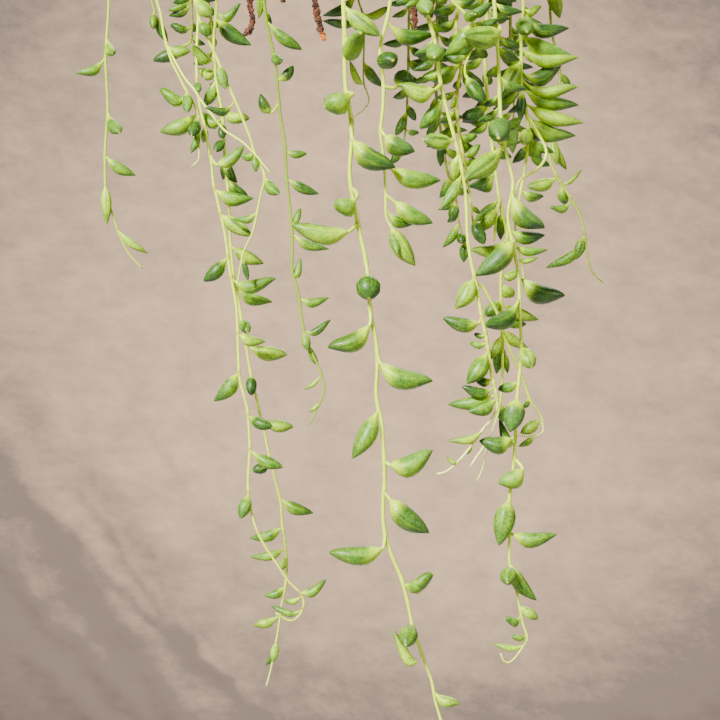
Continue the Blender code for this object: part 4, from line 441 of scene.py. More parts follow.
run("stem_right_long", "soil", (-88, -92), """
63.6 -6, 64.6 6, 65.3 16, 66 27, 66.4 38, 66.9 49, 67.8 58.5, 69.4 66, 71 72, 72.2 78, 71.8 83.5,
70.5 89, 70.2 95, 71.4 101.5, 73 109, 74.4 117, 75 125, 75.2 135, 75.7 145, 75.7 154, 74.8 163.5,
74 172, 73.6 181.5, 73.1 191, 72.6 199, 71.7 207, 70.8 214, 71 224, 70.7 234, 70.8 241.5, 72.2 248.5,
74 255.5, 75.4 262.5, 76.6 268.5, 78.4 274.2, 76.6 278, 73.8 282, 70.8 284.9, 68.4 284.4, 66.9 280.8""", """
65 9.5 50.1 15.4 -6 9.4 2, 67.2 52 66 59.6 -16 10.4 0, 68.2 61.5 51.1 77.7 -4 8.6 2,
71.9 82.5 86.1 98.3 -6 10.4 2, 71 99 86.1 101.5 4 6.4 2, 72.6 106 87.3 107.8 3 4.2 1,
73.3 110.5 83.3 110.8 2 2.6 1, 72 103.5 55.8 118.8 -5 9.4 0, 75.1 128 59.9 141 -4 7.6 4,
75.8 149.5 80.6 158.2 -8 7.6 0, 74.6 164 65.7 167.7 3 5.2 1, 73.9 172 69.6 184.8 -10 9 0,
73.2 187.5 65.9 180.7 4 4.8 6, 73.2 188.5 57.1 189.8 -3 7.6 5, 72.8 197.5 65.3 208.1 -4 8.4 7,
70.8 214.5 66.1 235 -4 8.4 0, 70.7 230 91.4 230.4 -2 7 2, 71.4 245 69.8 250.6 -11 7.8 0,
70.8 241.5 82 258.8 0 7 1, 74.9 260 83.1 266.3 -1 5 0, 75.7 264.5 68.8 266.1 -3 5 3,
78.1 274 71.3 273.7 -2 3.6 1, 77.6 276 63 276.9 2 3.2 2""", "stsbdmptdpmmodmmmmmpmmy")

run("stem_right_fan", "soil", (-62, -68), """
76.6 -6, 76.6 4, 75.6 14, 75.9 24, 75.6 33, 76.5 41, 78 48, 79 56, 78.6 64, 77.6 71, 76 80, 74.4 89,
73.2 97, 74 104, 75.5 111.5, 76.9 119.5""", """
76.6 3 84.5 2.8 2 4.8 3, 76 8 78.3 13.8 -13 8.4 0, 76 9 96.5 12.6 3 7 3,
75.7 14.5 97.6 24.8 -2 8.6 1, 75.9 21.5 100.6 25.4 -5 6.8 3, 75.9 24 66 21.2 4 8.2 3,
75.8 27 66.7 42.4 -5 7.6 0, 75.7 30 95.4 25.1 3 8.4 6, 75.8 34 100.5 37.6 -5 5.8 5,
75.9 36 67.8 43.2 4 5.2 1, 76 37 100.6 45.7 2 7.2 3, 76.3 39.5 75.4 52.4 -3 4.2 0,
77.2 44 102.7 53.3 -5 7.2 2, 78.2 49 99 59.3 1 8.6 3, 79 54.5 77 62.2 -7 6.6 0,
78.9 59 84.2 70 3 6 0, 78.6 63 72 70.4 2 4.6 0, 75.7 81 85.5 84.7 4 5.2 1,
76.8 119 94.8 128.6 -3 9.6 5""", "pbdmydsdydmdymybdmd")

run("stem_right_fan", "branch", (-67, -76), """
78.4 49.5, 81.2 53.6, 83.8 58.6, 86 62.8, 86.6 66.6, 84.6 70.7, 80.6 74.1, 76 76.8, 73.8 80.5,
73.2 85""", "", "", 1.0)

run("stem_right_edge", "soil", (46, 20), """
88 -6, 88.2 5, 89 14, 90.8 22.5, 92.3 30.5, 92.2 38, 91.3 46, 89.8 54, 88.3 61, 87.9 67, 89.2 72,
92 77.4, 95 82, 98 86.8, 100.5 91.4, 102.1 96, 103.2 102, 104.1 108, 105.3 114, 107.2 118.3,
111 121.4""", """
87.9 -9 92.4 8.3 -6 7 0, 92.2 30 97 37.2 0 4.4 0, 89.2 57 91.2 71.4 -3 4.2 0,
88.8 59 95.2 73.2 3 4.2 0, 91.6 76.5 77.8 80.8 -3 6.6 1, 92.5 78 102 73 0 2.6 2,
92.8 78.5 94.9 88.4 4 5 0, 97.4 86 87.8 89.5 -3 4.4 3, 103 101 99.3 111.8 -2 4.8 0,
103.6 104.5 86.2 115.6 4 5.2 2""", "yoyypymmmm")

run("stem_right_behind", "soil", (62, 60), """
71.5 -6, 71.2 6, 71.1 15, 72 26, 72.6 38, 72.5 50, 72 60""", """
71.4 -4 64.2 10 -4 7 0, 72.5 50 72 66.2 0 6.2 0, 71.2 13 79 20 0 6 1""", "dbd")

# Stems above the photograph's edge: (angle round the pot, end radius, depth of the end below the rim)
SHORT_STEMS = ((-30.0, 101.0, 128.0), (-18.0, 97.0, 96.0), (-6.0, 100.0, 134.0), (6.0, 98.0, 110.0),
               (52.0, 99.0, 132.0), (100.0, 98.0, 118.0), (166.0, 99.0, 126.0), (193.0, 97.0, 104.0),
               (208.0, 100.0, 130.0), (248.0, 98.0, 112.0), (261.0, 101.0, 126.0))
# Low tufts over the soil: (angle, radius of the root, radius of the end)
TUFTS = ((20.0, 14.0, 36.0), (110.0, 16.0, 35.0), (200.0, 14.0, 37.0), (290.0, 16.0, 36.0))

# The one root tail with a fresh tip, and a height in metres under every other tail's end
FRESH_TAIL = "root_tail_front"
NO_TIP = -9.0

# Root tails: drain hole number and points (u, v, depth), from the photograph's top edge down
ROOT_TAILS = (("root_tail_left", 2, ((-41, -3), (-40.6, 3), (-39.6, 8), (-40.6, 12.5), (-45, 16.5))),
              ("root_tail_middle", 3, ((-26.7, -5), (-26.7, 0.8))),
              ("root_tail_front", 4, ((-13.4, -3), (-12.3, 4), (-11.3, 10), (-8.7, 17.6))),
              ("root_tail_right", 5, ((29, -3), (29.6, 4), (30.4, 12.6))))


# Layout of the stems and beads


def polar(radius, degrees, z=0.0):
    """Point at a radius and an angle round the pot's axis."""
    return np.array((radius * math.cos(math.radians(degrees)),
                     radius * math.sin(math.radians(degrees)), z))


def angle_of(point):
    """Angle of a point round the pot's axis, in degrees from 0 to 360."""
    return math.degrees(math.atan2(point[1], point[0])) % 360.0


def picture_point(u, v, depth):
    """Point of the object's frame seen at (u, v) of the photograph, at a depth from the axis plane."""
    scale = (VIEW_DISTANCE + depth) / VIEW_DISTANCE
    return np.array((VIEW_U + (u - VIEW_U) * scale, depth, VIEW_Z - (v - VIEW_V) * scale))


def picture_of(points):
    """(u, v) of the photograph for points of the object's frame."""
    points = np.asarray(points, float)
    scale = (VIEW_DISTANCE + points[:, 1]) / VIEW_DISTANCE
    return np.column_stack((VIEW_U + (points[:, 0] - VIEW_U) / scale,
                            VIEW_V + (VIEW_Z - points[:, 2]) / scale))


def lengths_along(points):
    """Length of a line up to each of its points."""
    steps = np.linalg.norm(np.diff(points, axis=0), axis=1)
    return np.concatenate(((0.0,), np.cumsum(steps)))


def resample(points, step):
    """Points every step along a line."""
    points = np.asarray(points, float)
    along = lengths_along(points)
    places = np.linspace(0.0, along[-1], max(2, int(along[-1] / step) + 1))
    return np.column_stack([np.interp(places, along, points[:, axis]) for axis in range(3)])


def thin_out(points, tolerance):
    """Fewest points of a line that stay within the tolerance of it."""
    if len(points) < 3:
        return list(points)
    start, end = points[0], points[-1]
    chord = (end - start) / np.linalg.norm(end - start)
    away = [np.linalg.norm(p - start - chord * chord.dot(p - start)) for p in points]
    worst = int(np.argmax(away))
    if away[worst] <= tolerance:
        return [start, end]
    return thin_out(points[:worst + 1], tolerance)[:-1] + thin_out(points[worst:], tolerance)


def route_points(route, near, far):
    """Read route with its depth running from near to far."""
    flat = lengths_along(np.array([(u, v, 0.0) for u, v in route]))
    return [picture_point(u, v, near + (far - near) * s / flat[-1]) for (u, v), s in zip(route, flat)]


def spread_angles(wanted, fixed, spacing):
    """Angles near the wanted ones that keep their order, a spacing between them and from the fixed ones."""
    angles = dict(enumerate(wanted))
    angles.update({f"fixed_{k}": a for k, a in enumerate(fixed)})
    order = sorted(angles, key=lambda name: angles[name])
    for _ in range(SPREAD_ROUNDS):
        for left, right in zip(order, order[1:] + order[:1]):
            short = spacing - (angles[right] - angles[left]) % 360.0
            if short <= 0.0 or short > 180.0:
                continue
            movable = [name for name in (left, right) if not isinstance(name, str)]
            for name in movable:
                angles[name] += (short if name == right else -short) / len(movable)
    return [angles[k] for k in range(len(wanted))]


def wire_line(angle, bends):
    """Centreline of one hanger wire, from its free end outside the flange up to the ferrule."""
    centre = WIRE_CIRCLE + WIRE_HOOK_RADIUS
    bend_z = POT_RIM_Z - FLANGE_THICKNESS + WIRE_HOOK_RISE
    line = [polar(centre + WIRE_HOOK_RADIUS, angle, bend_z + WIRE_END_RISE)]
    for k in range(bends + 1):
        turn = math.pi * k / bends
        line.append(polar(centre + WIRE_HOOK_RADIUS * math.cos(turn), angle,
                          bend_z - WIRE_HOOK_RADIUS * math.sin(turn)))
    line.append(polar(WIRE_CIRCLE, angle, POT_RIM_Z + WIRE_STRAIGHT))
    line.append(polar(wire_radius_at(FERRULE_TOP - FERRULE_LENGTH + FERRULE_WIRE_DEPTH), angle,
                      FERRULE_TOP - FERRULE_LENGTH + FERRULE_WIRE_DEPTH))
    return np.array(line)


def wire_radius_at(z):
    """Distance of a wire's slanting part from the axis at height z."""
    low = POT_RIM_Z + WIRE_STRAIGHT
    high = FERRULE_TOP - FERRULE_LENGTH
    return WIRE_CIRCLE + (FERRULE_WIRE_CIRCLE - WIRE_CIRCLE) * (z - low) / (high - low)


def pot_wall(z, inside):
    """Radius of the pot's wall at height z."""
    rim = POT_RIM_RADIUS - (POT_WALL if inside else 0.0)
    base = POT_BASE_RADIUS - (POT_WALL if inside else 0.0)
    return base + (rim - base) * (z - POT_BOTTOM_Z) / POT_HEIGHT


def drain_centre(number):
    """Centre of one drain hole."""
    return polar(DRAIN_CIRCLE, DRAIN_START + number * 360.0 / DRAIN_HOLES)


def tail_line(number, route):
    """Centreline of a root tail, from its seat in the soil through its drain hole."""
    hole = drain_centre(number)
    depth = hole[1]
    line = [hole + (0, 0, POT_BOTTOM_Z + POT_FLOOR + TAIL_SEAT), hole + (0, 0, POT_BOTTOM_Z - 2.0)]
    line += [picture_point(u, v, depth) for u, v in route]
    return resample(line, TAIL_STEP)


class Space:
    """Spheres that stand for what has been placed, each with the name of its node."""

    def __init__(self):
        self.centres = np.zeros((0, 3))
        self.radii = np.zeros(0)
        self.owners = np.zeros(0, dtype="U40")

    def add(self, centres, radii, owner):
        """Note the spheres of a node."""
        centres = np.asarray(centres, float).reshape(-1, 3)
        self.centres = np.concatenate((self.centres, centres))
        self.radii = np.concatenate((self.radii, np.broadcast_to(radii, len(centres))))
        self.owners = np.concatenate((self.owners, np.full(len(centres), owner, dtype="U40")))

    def gap(self, centres, radii, owner):
        """Smallest distance from the spheres to those of other nodes and to the pot."""
        reach = np.abs(centres - centres.mean(axis=0)).max() + REACH
        near = (np.abs(self.centres - centres.mean(axis=0)).max(axis=1) < reach) & (self.owners != owner)
        gap = pot_gap(centres, radii)
        if near.any():
            apart = np.linalg.norm(self.centres[near][:, None] - centres[None], axis=2)
            gap = min(gap, (apart - self.radii[near][:, None] - radii[None]).min())
        return gap


def pot_gap(centres, radii):
    """Smallest distance from the spheres to the pot and the soil, taken in the plane of the radius."""
    flat = np.column_stack((np.hypot(centres[:, 0], centres[:, 1]), centres[:, 2]))
    half = POT_WALL / 2.0
    edges = (((POT_BASE_RADIUS - half, POT_BOTTOM_Z), (POT_RIM_RADIUS - half, POT_RIM_Z - half), half),
             ((POT_RIM_RADIUS, POT_RIM_Z - half), (FLANGE_RADIUS - half, POT_RIM_Z - half), half + 0.3),
             ((0.0, SOIL_Z + SOIL_CROWN), (POT_RIM_RADIUS, SOIL_Z), 0.0),
             ((0.0, POT_BOTTOM_Z), (POT_BASE_RADIUS, POT_BOTTOM_Z), 0.0))
    gap = np.inf
    for start, end, thick in edges:
        start, end = np.array(start), np.array(end)
        t = np.clip((flat - start) @ (end - start) / ((end - start) @ (end - start)), 0.0, 1.0)
        apart = np.linalg.norm(flat - start - t[:, None] * (end - start), axis=1)
        gap = min(gap, (apart - thick - radii).min())
    return gap


class Bead:
    """One fleshy leaf: an axis that sags between root and tip, and a width."""

    def __init__(self, root, tip, width, sag):
        self.root, self.tip, self.width, self.sag = np.asarray(root), np.asarray(tip), width, sag
        self.profile = PROFILE_BIG if width >= BIG_BEAD else PROFILE_SMALL
        self.tone, self.roll, self.foot = "m", 0.0, None

    def axis(self, t):
        """Points of the axis."""
        t = np.asarray(t, float)[:, None]
        middle = (self.root + self.tip) / 2.0 - (0.0, 0.0, 2.0 * self.sag)
        return (1 - t) ** 2 * self.root + 2 * t * (1 - t) * middle + t ** 2 * self.tip

    def length(self):
        """Length of the axis."""
        return lengths_along(self.axis(np.linspace(0, 1, 6)))[-1]

    def spheres(self):
        """Spheres that fill the bead, for keeping it clear of its neighbours."""
        t = np.linspace(0.16, 1.0, BEAD_SPHERES)
        places = [0.0] + [place for place, _ in self.profile] + [1.0]
        sizes = [0.0] + [size for _, size in self.profile] + [0.0]
        return self.axis(t), SECTION * self.width / 2.0 * np.interp(t, places, sizes)


class Stem:
    """One leafy node: its lines with their radii, and its beads."""

    def __init__(self, name):
        self.name, self.lines, self.radii, self.beads = name, [], [], []
        self.curves, self.thickness = [], []
        self.plain_length = 0.0

    def add_line(self, line, radius):
        """Add the trunk or a branch; it thins toward its end."""
        self.curves.append(np.asarray(line, float))
        self.thickness.append(radius)
        line = np.array(thin_out(np.asarray(line, float), LINE_TOLERANCE))
        along = lengths_along(line) / lengths_along(line)[-1]
        self.lines.append(line)
        self.radii.append(radius * np.interp(along, (0.0, 0.9, 1.0), (1.0, 0.85, 0.5)))

    def nearest(self, u, v):
        """Point of the lines seen nearest to (u, v)."""
        points = np.concatenate([resample(line, 1.0) for line in self.lines])
        away = np.linalg.norm(picture_of(points) - (u, v), axis=1)
        return points[away.argmin()]


def plan_stems():
    """Lines of all leafy stems, with their feet in the soil holes."""
    draw = random.Random(SEED)
    planned = []
    for entry in RUNS:
        if entry["start"] == "soil":
            line = route_points(entry["route"], *entry["depths"])
            planned.append((entry["node"], angle_of(line[0]), line, entry["radius"]))
    for number, (angle, radius, drop) in enumerate(SHORT_STEMS):
        end = polar(radius, angle, POT_RIM_Z - drop)
        planned.append((f"stem_short_{number + 1:02d}", angle % 360.0, [end], STEM_RADIUS))
    spacing = math.degrees(RIM_SPACING / POT_RIM_RADIUS)
    rim = spread_angles([angle for _, angle, _, _ in planned], WIRE_ANGLES, spacing)
    order = sorted(range(len(planned)), key=lambda k: rim[k])
    stems = {}
    for first in range(0, len(order), CLUMP_SIZE):
        members = order[first:first + CLUMP_SIZE]
        middle = sum(rim[k] for k in members) / len(members)
        for place, k in enumerate(members):
            name, _, line, radius = planned[k]
            foot = polar(CLUMP_RADIUS, middle) + polar(CLUMP_SPREAD, middle + CLUMP_TURNS[place])
            climb = climb_line(foot, rim[k], line[0], draw)
            stem = Stem(name)
            stem.plain_length = lengths_along(np.array(climb + [line[0]]))[-1]
            stem.add_line(climb + list(line), radius)
            stems[name] = stem
    for entry in RUNS:
        if entry["start"] == "branch":
            stem = stems[entry["node"]]
            line = route_points(entry["route"], *entry["depths"])
            line[0] = stem.nearest(*entry["route"][0])
            stem.add_line(line, entry["radius"])
    for number, (angle, inner, outer) in enumerate(TUFTS):
        stem = Stem(f"tuft_{number + 1}")
        stem.add_line([polar(inner + out * (outer - inner), angle + swing, SOIL_Z + rise)
                       for out, swing, rise in TUFT_LINE], STEM_RADIUS)
        stem.plain_length = lengths_along(stem.lines[0])[-1]
        stems[stem.name] = stem
    return stems


def climb_line(foot, rim_angle, first, draw):
    """Line of a stem out of the soil, over the rim and down toward its first read point."""
    start = angle_of(foot)
    swing = (rim_angle - start + 180.0) % 360.0 - 180.0
    radius = math.hypot(foot[0], foot[1])
    outer = OVER_RADIUS + OVER_SHARE * (math.hypot(first[0], first[1]) - OVER_RADIUS)
    lift = draw.uniform(0.0, ARCH_LIFT)
    line = [foot + (0, 0, SOIL_Z - HOLE_DEPTH + 1.0), foot + (0, 0, SOIL_Z + 4.0)]
    for reach, turn, height in ARCH_LINE:
        line.append(polar(radius + reach * (POT_RIM_RADIUS - radius), start + turn * swing,
                          POT_RIM_Z + height + lift * min(1.0, height / 5.0)))
    line += [polar(outer + out, rim_angle, POT_RIM_Z + height) for out, height in OVER_LINE]
    base = line[-1]
    drop = base[2] - first[2]
    steps = max(2, int(drop / DROP_STEP))
    for k in range(1, steps):
        wave = np.array((draw.uniform(-WAVE, WAVE), draw.uniform(-WAVE, WAVE), 0.0))
        line.append(base + (first - base) * k / steps + wave)
    return line


def fixed_spheres(space):
    """Note the wires and the root tails, which the beads keep clear of."""
    for number, angle in enumerate(WIRE_ANGLES):
        line = resample(wire_line(angle, 5), STEM_SAMPLE)
        space.add(line, WIRE_RADIUS, f"wire_{number}")
    for name, number, route in ROOT_TAILS:
        line = tail_line(number, route)
        space.add(resample(line, STEM_SAMPLE), TAIL_RADIUS + TAIL_MARGIN, name)


def grow():
    """All leafy stems with their beads."""
    stems = plan_stems()
    space = Space()
    fixed_spheres(space)
    for stem in stems.values():
        for line, radii in zip(stem.lines, stem.radii):
            space.add(resample(line, STEM_SAMPLE), SECTION * radii.max(), stem.name)
    for entry in RUNS:
        for reading, tone in zip(entry["beads"], entry["tones"]):
            place_read_bead(stems[entry["node"]], reading, tone, space)
    for number, stem in enumerate(stems.values()):
        place_rule_beads(stem, random.Random(SEED + 100 + number), space)
    for name, (low, high, spacing) in HIDDEN.items():
        place_hidden_beads(stems[name], low, high, spacing, random.Random(name), space)
    return stems


def place_hidden_beads(stem, low, high, spacing, draw, space):
    """Place small beads behind the read ones, where the curtain is dense."""
    line = resample(stem.lines[0], 1.0)
    directions = np.gradient(line, axis=0)
    heights = picture_of(line)[:, 1]
    inside = [k for k in range(len(line)) if low < heights[k] < high and line[k][2] < -20.0]
    for here in inside[::spacing]:
        choices = [bead for bead in rule_choices(line[here], directions[here], draw.uniform(0.0, 360.0),
                                                 draw.uniform(10.0, 15.0)) if bead.tip[1] > bead.root[1]]
        tone = draw.choice(SHADED_HIDDEN_TONES)
        for bead in choices:
            bead.tone = tone
        settle(stem, choices, space)


def settle(stem, choices, space):
    """Give the stem the first bead of the choices that keeps clear of everything else."""
    for bead in choices:
        centres, radii = bead.spheres()
        if space.gap(centres, radii, stem.name) >= CLEARANCE:
            space.add(centres, radii, stem.name)
            stem.beads.append(bead)
            return True
    return False


def place_read_bead(stem, reading, tone, space):
    """Place one bead where it was read, moved only along the line of sight where it must be."""
    root_u, root_v, tip_u, tip_v, ahead, width, sag = reading
    root = stem.nearest(root_u, root_v)
    choices = []
    for shrink in SHRINK_TRIES:
        for shift in DEPTH_TRIES:
            tip = picture_point(tip_u, tip_v, root[1] + ahead + shift)
            bead = Bead(root, tip, width * shrink, sag)
            bead.tone, bead.roll = tone, ROLLS.get(tone, 20.0)
            if bead.length() < LONGEST_BEAD or shift == 0.0:
                choices.append(bead)
    if not settle(stem, choices, space):
        print("no room for a bead of", stem.name, "at", (root_u, root_v, tip_u, tip_v))
    elif (tip_u, tip_v) in SHAPED:
        shape_bead(stem.beads[-1], *SHAPED[(tip_u, tip_v)])


def shape_bead(bead, foot_u, foot_v, tip_u, tip_v, foot_ahead, tip_ahead, width, sag, tone):
    """Give a bead the foot, tip and fullness that the photograph shows."""
    bead.foot = picture_point(foot_u, foot_v, bead.root[1] + foot_ahead)
    bead.tip = picture_point(tip_u, tip_v, bead.root[1] + tip_ahead)
    bead.width, bead.sag, bead.tone = width, sag, tone


def neck_line(bead, root):
    """Curve of a bead's slim foot, from its stem into the start of its body."""
    ahead = bead.tip - bead.foot - (0.0, 0.0, 4.0 * bead.sag)
    ahead = ahead / np.linalg.norm(ahead)
    bend = bead.foot - ahead * 0.2 * np.linalg.norm(bead.foot - root)
    t = np.linspace(0.0, 1.0, 8)[:, None]
    return (1 - t) ** 2 * root + 2 * t * (1 - t) * bend + t ** 2 * (bead.foot + ahead * 0.6)


def place_rule_beads(stem, draw, space):
    """Place beads by rule on the part of the trunk that no photograph shows."""
    line = resample(stem.lines[0], 1.0)
    along = lengths_along(line)
    directions = np.gradient(line, axis=0)
    tuft = stem.name.startswith("tuft")
    place = TUFT_START if tuft else RULE_START
    spacing = TUFT_SPACING if tuft else RULE_SPACING
    turn = draw.uniform(0.0, 360.0)
    while place < stem.plain_length - (0.0 if tuft else RULE_END):
        here = int(np.searchsorted(along, place))
        length = draw.uniform(*RULE_LENGTH)
        count = len(stem.beads)
        settle(stem, [bead for bead in rule_choices(line[here], directions[here], turn, length)
                      if above_photo(bead)], space)
        for bead in stem.beads[count:]:
            bead.tone = RULE_TONES[int(place * 7.0) % len(RULE_TONES)]
        turn += RULE_TURN + draw.uniform(-RULE_TURN_JITTER, RULE_TURN_JITTER)
        place += spacing * draw.uniform(1.0 - RULE_JITTER, 1.0 + RULE_JITTER)


def above_photo(bead):
    """Whether a bead stays above the photograph's top edge."""
    centres, radii = bead.spheres()
    return (picture_of(centres)[:, 1] + 1.1 * radii).max() < -PHOTO_MARGIN


def rule_choices(root, direction, turn, length):
    """Beads that leave the stem at about the wanted turn and hang or rise a little."""
    direction = direction / np.linalg.norm(direction)
    side = np.cross(direction, (0.31, 0.95, 0.0))
    side /= np.linalg.norm(side)
    other = np.cross(direction, side)
    beads = []
    for size in RULE_SIZES:
        for swing in TURN_TRIES:
            angle = math.radians(turn + swing)
            out = math.cos(angle) * side + math.sin(angle) * other
            tip = root + size * length * (RULE_OUT * out + RULE_ALONG * direction + RULE_FALL)
            beads.append(Bead(root, tip, size * length * RULE_WIDTH, RULE_SAG * length))
    return beads


# Looks and the maths on sockets


def srgb(red, green, blue):
    """Linear colour of an sRGB colour with parts from 0 to 255."""
    parts = [c / 255.0 for c in (red, green, blue)]
    return tuple(c / 12.92 if c <= 0.04045 else ((c + 0.055) / 1.055) ** 2.4 for c in parts)


class Value:
    """A socket, or a number, whose expressions add Math nodes to its tree."""

    def __init__(self, maker, socket):
        self.maker, self.socket = maker, socket

    def math(self, operation, *others, clamp=False):
        """Math node on this value and the others."""
        return self.maker.math(operation, self, *others, clamp=clamp)

    def __add__(self, other):
        return self.math("ADD", other)

    def __radd__(self, other):
        return self.maker.math("ADD", other, self)

    def __sub__(self, other):
        return self.math("SUBTRACT", other)

    def __rsub__(self, other):
        return self.maker.math("SUBTRACT", other, self)

    def __mul__(self, other):
        return self.math("MULTIPLY", other)

    def __rmul__(self, other):
        return self.maker.math("MULTIPLY", other, self)

    def __truediv__(self, other):
        return self.math("DIVIDE", other)

    def clamped(self):
        """The value kept between 0 and 1."""
        return self.math("ADD", 0.0, clamp=True)


class Maker:
    """Adds nodes to one tree."""

    def __init__(self, tree):
        self.tree = tree

    def node(self, kind, settings=None, inputs=None):
        """Node of a type, with its settings first and then the values or links of its sockets."""
        made = self.tree.nodes.new(kind)
        for name, value in (settings or {}).items():
            setattr(made, name, value)
        for name, value in (inputs or {}).items():
            self.feed(made.inputs[name], value)
        return made

    def feed(self, socket, value):
        """Link a value to a socket, or set the socket's own value."""
        if isinstance(value, Value):
            self.tree.links.new(value.socket, socket)
        elif isinstance(value, bpy.types.NodeSocket):
            self.tree.links.new(value, socket)
        else:
            socket.default_value = value

    def paint(self, name, value):
        """Feed one socket of the material's main shader."""
        self.feed(self.tree.nodes["Principled BSDF"].inputs[name], value)

    def part(self, vector, axis):
        """One part of a vector."""
        return Value(self, self.node("ShaderNodeSeparateXYZ", None, {"Vector": vector}).outputs[axis])

    def math(self, operation, *values, clamp=False):
        """Math node."""
        made = self.node("ShaderNodeMath", {"operation": operation, "use_clamp": clamp})
        for socket, value in zip(made.inputs, values):
            self.feed(socket, value)
        return Value(self, made.outputs[0])

    def mix(self, first, second, factor, blend="MIX"):
        """Mix of two colours."""
        made = self.node("ShaderNodeMix", {"data_type": "RGBA", "blend_type": blend})
        for socket, value in ((made.inputs[0], factor), (made.inputs[6], first), (made.inputs[7], second)):
            self.feed(socket, (*value, 1.0) if isinstance(value, (tuple, Color)) else value)
        return Value(self, made.outputs[2])

    def step(self, value, low, high):
        """Smooth step from 0 at low to 1 at high."""
        made = self.node("ShaderNodeMapRange", {"interpolation_type": "SMOOTHSTEP"},
                         {"Value": value, "From Min": low, "From Max": high})
        return Value(self, made.outputs["Result"])

    def attribute(self, name):
        """Number that the mesh carries under a name."""
        made = self.node("ShaderNodeAttribute", {"attribute_name": name})
        return Value(self, made.outputs["Fac"])

    def place(self):
        """Object coordinates."""
        return Value(self, self.node("ShaderNodeTexCoord").outputs["Object"])

    def vector(self, x, y, z):
        """Vector of three values."""
        return Value(self, self.node("ShaderNodeCombineXYZ", None, {"X": x, "Y": y, "Z": z}).outputs[0])

    def noise(self, where, scale, detail=2.0, roughness=0.5):
        """Noise from 0 to 1."""
        made = self.node("ShaderNodeTexNoise", None,
                         {"Vector": where, "Scale": scale, "Detail": detail, "Roughness": roughness})
        return Value(self, made.outputs["Fac"])

    def bump(self, height, strength, distance):
        """Normal of a bumpy surface."""
        made = self.node("ShaderNodeBump", None,
                         {"Height": height, "Strength": strength, "Distance": distance})
        return Value(self, made.outputs["Normal"])


def new_look(name, **constants):
    """Material whose main shader has its constant sockets set, and its Maker."""
    look = bpy.data.materials.new(name)
    look.use_nodes = True
    make = Maker(look.node_tree)
    for socket, value in constants.items():
        make.paint(socket.replace("_", " "), value)
    return look, make


def succulent_look(leaf, stem):
    """Skin of the beads and stems, from what their points carry."""
    look, make = new_look("succulent_skin", Subsurface_Weight=leaf.glow, Subsurface_Scale=0.003,
                          Subsurface_Radius=(0.8, 1.0, 0.25), Coat_Roughness=0.25, IOR=1.4,
                          Specular_IOR_Level=0.36)
    along, face, side = (make.attribute(name) for name in ("along", "face", "side"))
    pale, dark, bloom, stripe, shade = (make.attribute(name)
                                        for name in ("pale", "dark", "bloom", "stripe", "shade"))
    leafy = make.attribute("leafy")
    streak = make.noise(make.vector(side * 3.2 + shade * 40.0, face * 3.2, along * 0.9), 1.0, 3.0, 0.6)
    cloud = make.noise(make.place(), 260.0, 3.0, 0.6)
    speck = make.noise(make.place(), 1100.0, 3.0, 0.65)
    patch = make.step(cloud, 0.34, 0.66)
    young = (pale * 0.7 + patch * 0.35 * (1.0 - dark)).clamped()
    colour = make.mix(leaf.middle, leaf.pale, young)
    colour = make.mix(colour, leaf.dark, (dark * 1.15 - patch * 0.3).clamped())
    colour = make.mix(colour, leaf.pale, make.step(streak, 0.5, 0.72) * (0.18 + stripe * 0.65))
    colour = make.mix(colour, leaf.dark, make.step(streak, 0.46, 0.3) * (0.28 + stripe * 0.45))
    # Painted light: the lower side of a bead is painted paler toward its foot, as light shining through it
    belly = make.step(face, 0.1, -0.9) * make.step(along, 0.75, 0.3) * (1.0 - dark * 0.6)
    colour = make.mix(colour, leaf.pale, belly * 0.45)
    tip = make.step(along, 0.5, 0.95)
    colour = make.mix(colour, leaf.dark, tip * (0.45 + cloud * 0.4) * (1.0 - bloom * 0.5))
    window = make.step(side.math("ABSOLUTE"), 0.34, 0.08) * make.step(face, 0.3, 0.8)
    window = window * make.step(along, 0.14, 0.3)
    colour = make.mix(colour, leaf.window, window * (0.3 + stripe * 0.6))
    powder = make.step(face, -0.5, 0.9) * bloom * make.step(along, 0.15, 0.4) * (0.45 + cloud * 0.8)
    colour = make.mix(colour, leaf.bloom, (powder * 0.75).clamped())
    colour = make.mix(colour, leaf.petiole, make.step(along, 0.36, 0.08))
    colour = make.mix(colour, leaf.point, make.step(along, 0.965, 0.99) * 0.9)
    colour = make.mix(colour, leaf.dark, make.step(speck, 0.5, 0.64) * 0.42)
    colour = make.mix(colour, leaf.bloom, make.step(speck, 0.46, 0.34) * (0.16 + bloom * 0.45))
    # Painted light and shade of the stems: front stems take the lit colour, stems farther back the dull one
    skin = make.mix(stem.dull_and_shaded, stem.bright, pale)
    skin = make.mix(skin, stem.dull_and_shaded, make.step(cloud, 0.5, 0.75) * 0.35)
    skin = make.mix(skin, stem.end, bloom)
    skin = make.mix(skin, stem.node, make.step(along, 0.5, 1.0) * make.step(shade, 0.55, 0.9) * 0.6)
    make.paint("Base Color", make.mix(skin, colour, leafy))
    make.paint("Roughness", 0.36 + cloud * 0.16 + bloom * 0.1)
    make.paint("Coat Weight", ((1.0 - leafy) * 0.4 + 0.1 - powder * 0.1).clamped())
    height = cloud * 0.5 + speck * 0.35 + streak * 0.5 * leafy
    make.paint("Normal", make.bump(height, 0.18, 0.0004))
    return look


